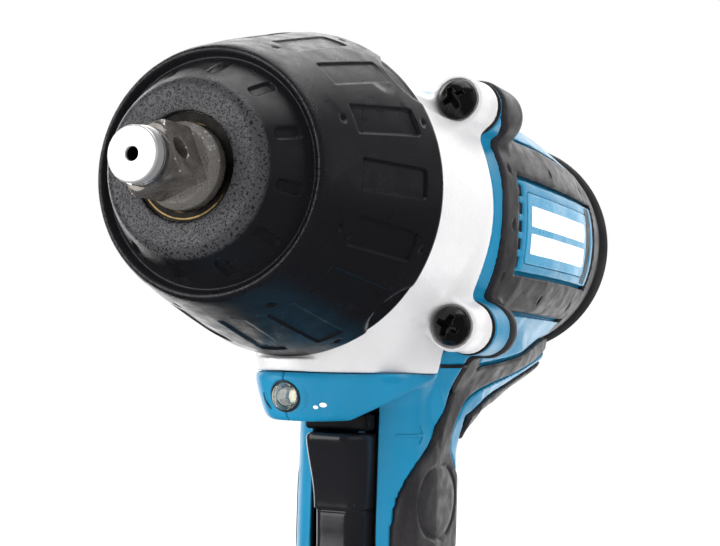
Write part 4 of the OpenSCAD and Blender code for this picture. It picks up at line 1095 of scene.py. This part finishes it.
def rear_end():
    dark = plastic("rear_plastic", (0.030, 0.029, 0.031), 0.42, 2200, 0.00005)
    outer = [(22, -120.7), (25, -120.2), (29, -118.6), (31.5, -116), (33, -112), (35.2, -108), (35.9, -103),
             (36.4, -96)]

    def cover(x, y, z):
        r = length(y, z)
        a = np.abs(y)
        body = smax(lathe(x, r, outer, 0.6), a - 38.3, 2)
        inside = lathe(x, r, [(26.5, -117.6), (33.0, -106), (33.8, -94)], 0.3)
        body = cut(body, inside, 0.4)
        angle = np.arctan2(y, np.broadcast_to(z, np.broadcast_shapes(y.shape, z.shape)))
        fan = np.abs((angle / math.radians(20) + 0.5) % 1 - 0.5) * math.radians(20) * r
        open_side = np.abs(np.abs(y) / meet(r, 1)) > 0.58
        slot = meet(fan - 1.5, np.abs(r - 20.5) - 4.8)
        slot = np.where(open_side, slot, 5)
        body = cut(body, meet(slot, x + 114), 0.5)
        ridge = smax(np.abs(r - 11.5) - 0.5, np.abs(x + 120.2) - 0.6, 0.3)
        body = smin(body, meet(ridge, -x - 120.8), 0.3)
        for s in (-1, 1):
            q = length(y, z - 26 * s)
            seat = smax(q - 5.2, span(x, -118.8, -108), 1.0)
            body = smin(body, smax(seat, r - 36, 0.3), 1.2)
            body = cut(body, smax(q - 3.4, x + 118.2, 0.1), 0.3)
            body = cut(body, q - 1.7, 0.1)
        cup = smax(np.abs(r - 10.75) - 1.25, span(x, -118.6, -98), 0.3)
        return smin(smax(body, x + 96.05, 0.2), cup, 0.8)

    solid("rear_cap", cover, (-122, -38.8, -37.4), (-95.4, 38.8, 37.4), 0.5, dark, "rear_cover", "black_plastic")
    ring = rubber("rear_rubber", (0.022, 0.022, 0.024), 0.5, 3000, 0.00005)

    def band(x, y, z):
        r = length(y, z)
        a = np.abs(y)
        body = lathe(x, r, [(31.2, -118.2), (34.2, -117.6), (36.2, -115.4), (36.9, -112.4), (36.2, -111.2)], 0.5)
        body = smax(body, 32.4 - r - meet(-113.5 - x, 0) * 0.35, 0.4)
        return smax(body, a - 37.6, 0.5)

    solid("rear_band", band, (-119, -38, -38), (-110.4, 38, 38), 0.5, ring, "rear_bumper", "black_rubber")


# ---- battery


def battery():
    shell = plastic("battery_shell", (0.024, 0.024, 0.027), 0.45, 1900, 0.00007)
    lo_x, hi_x, half_y = -59, 57, 37.5
    post_in_x, post_y = 6.4, 29.4  # screw posts in the four corners

    def plan(x, a, g=0.0):
        return plan_rect(x, a, lo_x - g, hi_x + g, half_y + g, 8 + g)

    def corner(x, a):
        """Distance from the axis of the nearest screw post."""
        return join(*(length(x - px, a - post_y) for px in (lo_x + post_in_x, hi_x - post_in_x)))

    def lower(x, y, z):
        a, h = np.abs(y), z + AXIS
        body = smax(plan(x, a), meet(-h, h - 40), 1.6)
        groove = meet(np.abs(h - 20) - 13, np.abs(x) - 34)
        ribs = np.abs((x / 5.0 + 0.5) % 1 - 0.5) * 5.0 - 1.0
        body = cut(body, smax(smax(groove, ribs, 0.4), 36.9 - a, 0.2), 0.5)
        front = meet(a - 22, np.abs(h - 16) - 9, 56.2 - x)
        body = cut(body, front, 0.4)
        inner = smax(plan(x, a, -2.5), 3 - h, 0.6)
        q = corner(x, a)
        inner = meet(inner, -meet(q - 2.9, h - 38))
        body = cut(body, inner, 0.3)
        body = cut(body, meet(q - 3.1, h - 1.6), 0.3)
        body = cut(body, meet(q - 1.45, h - 30), 0.1)
        return body

    solid("pack_lower", lower, (-60.2, -38.7, -237.2), (58.2, 38.7, -195), 0.62, shell, "battery_lower_case",
          "battery_plastic", "battery_body")

    def upper(x, y, z):
        a, h = np.abs(y), z + AXIS
        edge = meet(h - 55, 0)
        body = smax(plan(x, a, 0) + edge * edge * 0.03, span(h, 40.1, 60), 1.4)
        body = smin(body, box(x, a, h, (-54, -21.5, 57), (45, 21.5, 71), 0.6), 0.5)
        body = join(body, box(x, a, h, (-54, -26.5, 68), (40, 26.5, 76), 0.8))
        body = smin(body, box(x, a, h, (45, -30, 57), (57, 30, 68), 2.5), 1.0)
        seam = meet(np.abs(h - 42) - 0.4, 36.9 - a)
        body = cut(body, seam, 0.3)
        for k in range(3):
            body = cut(body, meet(np.abs(h - 62 - 2.4 * k) - 0.5, 56.4 - x, np.abs(a - 20) - 7), 0.3)
        body = cut(body, smax(plan(x, a, -2.5), h - 57, 0.5), 0.3)
        body = cut(body, box(x, a, h, (-50, -18, 55), (30, 18, 73.6), 0.5), 0.3)
        body = cut(body, box(x, a, h, (-58, -18, 67.4), (-49.4, 18, 87.4), 0.2), 0.2)
        for py in (-12, 0, 12):
            body = cut(body, box(x, y, h, (-58, py - 1.2, 67.8), (-34, py + 1.2, 88), 0.1), 0.2)
        return smax(body, -box(x, a, h, (30, -8.4, 52), (70, 8.4, 92), 0.2), 0.3)

    solid("pack_upper", upper, (-60.2, -38.7, -196.4), (58.2, 38.7, -159), 0.62, shell, "battery_upper_case",
          "battery_plastic", "battery_body")


def nameplates():
    """Plain raised plates, each with two plain bars in place of lettering."""
    teal = plastic("plate_teal", (0.005, 0.20, 0.36), 0.3, 2400, 0.00002, 0.35)
    white = plastic("plate_white", (0.86, 0.87, 0.88), 0.35, 1500, 0.00001)

    def plate(x, y, z):
        outline = plan_rect(x - PLATE_X, np.abs(z - PLATE_Z), -34.4, 34.4, 10.2, 1.5)
        return smax(outline, np.abs(base_form(x, y, z) + 0.32) - 0.44, 0.15)

    def bars(x, y, z):
        d = 9
        for z0 in (1.9, -6.1):
            d = join(d, rounded_rect(np.abs(x - PLATE_X) - 30.5, np.abs(z - z0) - 3.0, 0.9))
        return smax(d, np.abs(base_form(x, y, z) - 0.06) - 0.24, 0.1)

    for name, field, lo, hi, step, finish, slot in (
            ("plate_", plate, (-84, 34, -13), (-13, 40.4, 9.4), 0.28, teal, "teal_housing"),
            ("plate_bars_", bars, (-80, 34, -10), (-17, 40.6, 6), 0.18, white, "white_plate")):
        verts, faces = surface(field, lo, hi, step)
        for side, mirror in (("left", False), ("right", True)):
            mesh_object(name + side, verts, faces, finish, "nameplates", slot, mirror=mirror)


# ---- finishes of the CAD nodes


def finishes():
    """Procedural finishes of the CAD nodes that show as they are."""
    for finish, names in (
            (steel("ground_steel", (0.66, 0.66, 0.67), 0.22, (0.1, 1, 1), 0.00001),
             "planet_pins cam_balls socket_ring spindle_bearing rotor_front_bearing rotor_rear_bearing"),
            (steel("oiled_steel", (0.40, 0.40, 0.41), 0.30, (0.15, 1, 1), 0.00002, 0.4),
             "hammer ring_gear planet_gear_1 planet_gear_2 spindle rotor_shaft"),
            (steel("spring_wire", (0.34, 0.34, 0.35), 0.30, None, 0.00001, 0.3), "brush_springs"),
            (steel("dark_screw", (0.07, 0.07, 0.072), 0.34, None, 0.00002, 0.3, 0.9),
             "rear_screws housing_screws battery_screws"),
            (steel("turned_brass", (0.70, 0.50, 0.21), 0.25, (0.1, 1, 1), 0.00001),
             "hook_inserts terminal_blades battery_terminals"),
            # the nose ring is painted shade: near black, with a dim brass line only on its lower side
            (nose_ring_shaded(), "nose_ring"),
            (steel("sintered_bronze", (0.50, 0.31, 0.15), 0.42, None, 0.00005, 0.4), "anvil_bushing"),
            (steel("nickel", (0.66, 0.63, 0.57), 0.24, None, 0.00001), "cell_straps"),
            (steel("copper_wire", (0.72, 0.30, 0.15), 0.30, (1, 6, 6), 0.00008), "rotor_windings commutator"),
            (steel("laminations", (0.36, 0.37, 0.39), 0.42, (14, 0.6, 0.6), 0.00008, 0.3), "rotor_core motor_yoke"),
            (plastic("ferrite", (0.055, 0.053, 0.052), 0.6, 1600, 0.00006), "motor_magnets"),
            (plastic("carbon", (0.03, 0.03, 0.032), 0.5, 2600, 0.00006), "carbon_brushes"),
            (plastic("cell_sleeve", (0.05, 0.22, 0.50), 0.28, 700, 0.00003), "battery_cells"),
            (plastic("moulded_black", (0.022, 0.022, 0.024), 0.4, 2200, 0.00004),
             "fan brush_holder switch_unit terminal_block gearbox_plate battery_latch"),
            (rubber("black_rubber", (0.02, 0.02, 0.022), 0.5, 2800, 0.00004), "socket_o_ring")):
        for name in names.split():
            mesh = nodes[name].data
            mesh.materials.clear()
            mesh.materials.append(finish.done())


# ---- springs

SPRINGS = (  # CAD node, body, joint, start, axis, coil and wire radius, length, turns, the joint's travel
    ("hammer_spring", "spindle_body", "hammer_slide", (34.6, 0, 0), 0, 17, 1.7, 30.6, 5, 10),
    ("trigger_spring", "tool", "trigger_pull", (6.3, 0, -78), 0, 3.6, 0.45, 18.2, 6, 6.5),
    ("latch_spring", "battery_body", "latch_press", (44, 0, -183.8), 2, 3, 0.4, 7.1, 4, 4))
PER_TURN, WIRE_SIDES, END_TURN, END_PITCH = 28, 10, 0.75, 0.35


def springs():
    """Coil springs, each in place of its CAD node and carried by its body. The last part of a turn at each end is
    flatter.
    """
    metal = steel("coil_wire", (0.34, 0.34, 0.35), 0.30, None, 0.00001, 0.3)
    for node, body, joint, start, axis, radius, wire, size, turns, travel in SPRINGS:
        steps, sides = PER_TURN * turns, WIRE_SIDES
        turn = np.arange(steps + 1)[:, None] / PER_TURN
        around = np.arange(sides)[None, :] * math.tau / sides
        run = (turn - END_TURN) / (turns - 2 * END_TURN)
        rise = np.clip(run, 0, 1)
        rise = rise + END_PITCH * (run - rise)
        rise = (rise - rise[0]) / (rise[-1] - rise[0])
        out = radius + wire * np.cos(around)
        height = wire + (size - 2 * wire) * rise + wire * np.sin(around)
        points = np.stack([out * np.cos(turn * math.tau), out * np.sin(turn * math.tau), height], -1)
        points = np.roll(points, axis + 1, -1).reshape(-1, 3) + np.array(start)
        i, j = np.meshgrid(np.arange(steps), np.arange(sides), indexing="ij")
        k = (j + 1) % sides
        walls = np.stack([i * sides + j, i * sides + k, (i + 1) * sides + k, (i + 1) * sides + j], -1).reshape(-1,
                                                                                                               4)
        cap = np.array([(0, q, q + 1, q + 2) for q in range(1, sides - 1, 2)])
        faces = np.concatenate([walls, cap[:, ::-1], cap + steps * sides])
        piece = mesh_object(node + "_coil", points, faces, metal, node, "spring_steel", body)
        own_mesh(piece)


# ---- run


def main():
    camera()
    stage()
    bumper()
    anvil()
    hammer_case()
    screws()
    housing()
    lamp_parts()
    controls()
    rear_end()
    battery()
    nameplates()
    springs()
    finishes()


main()
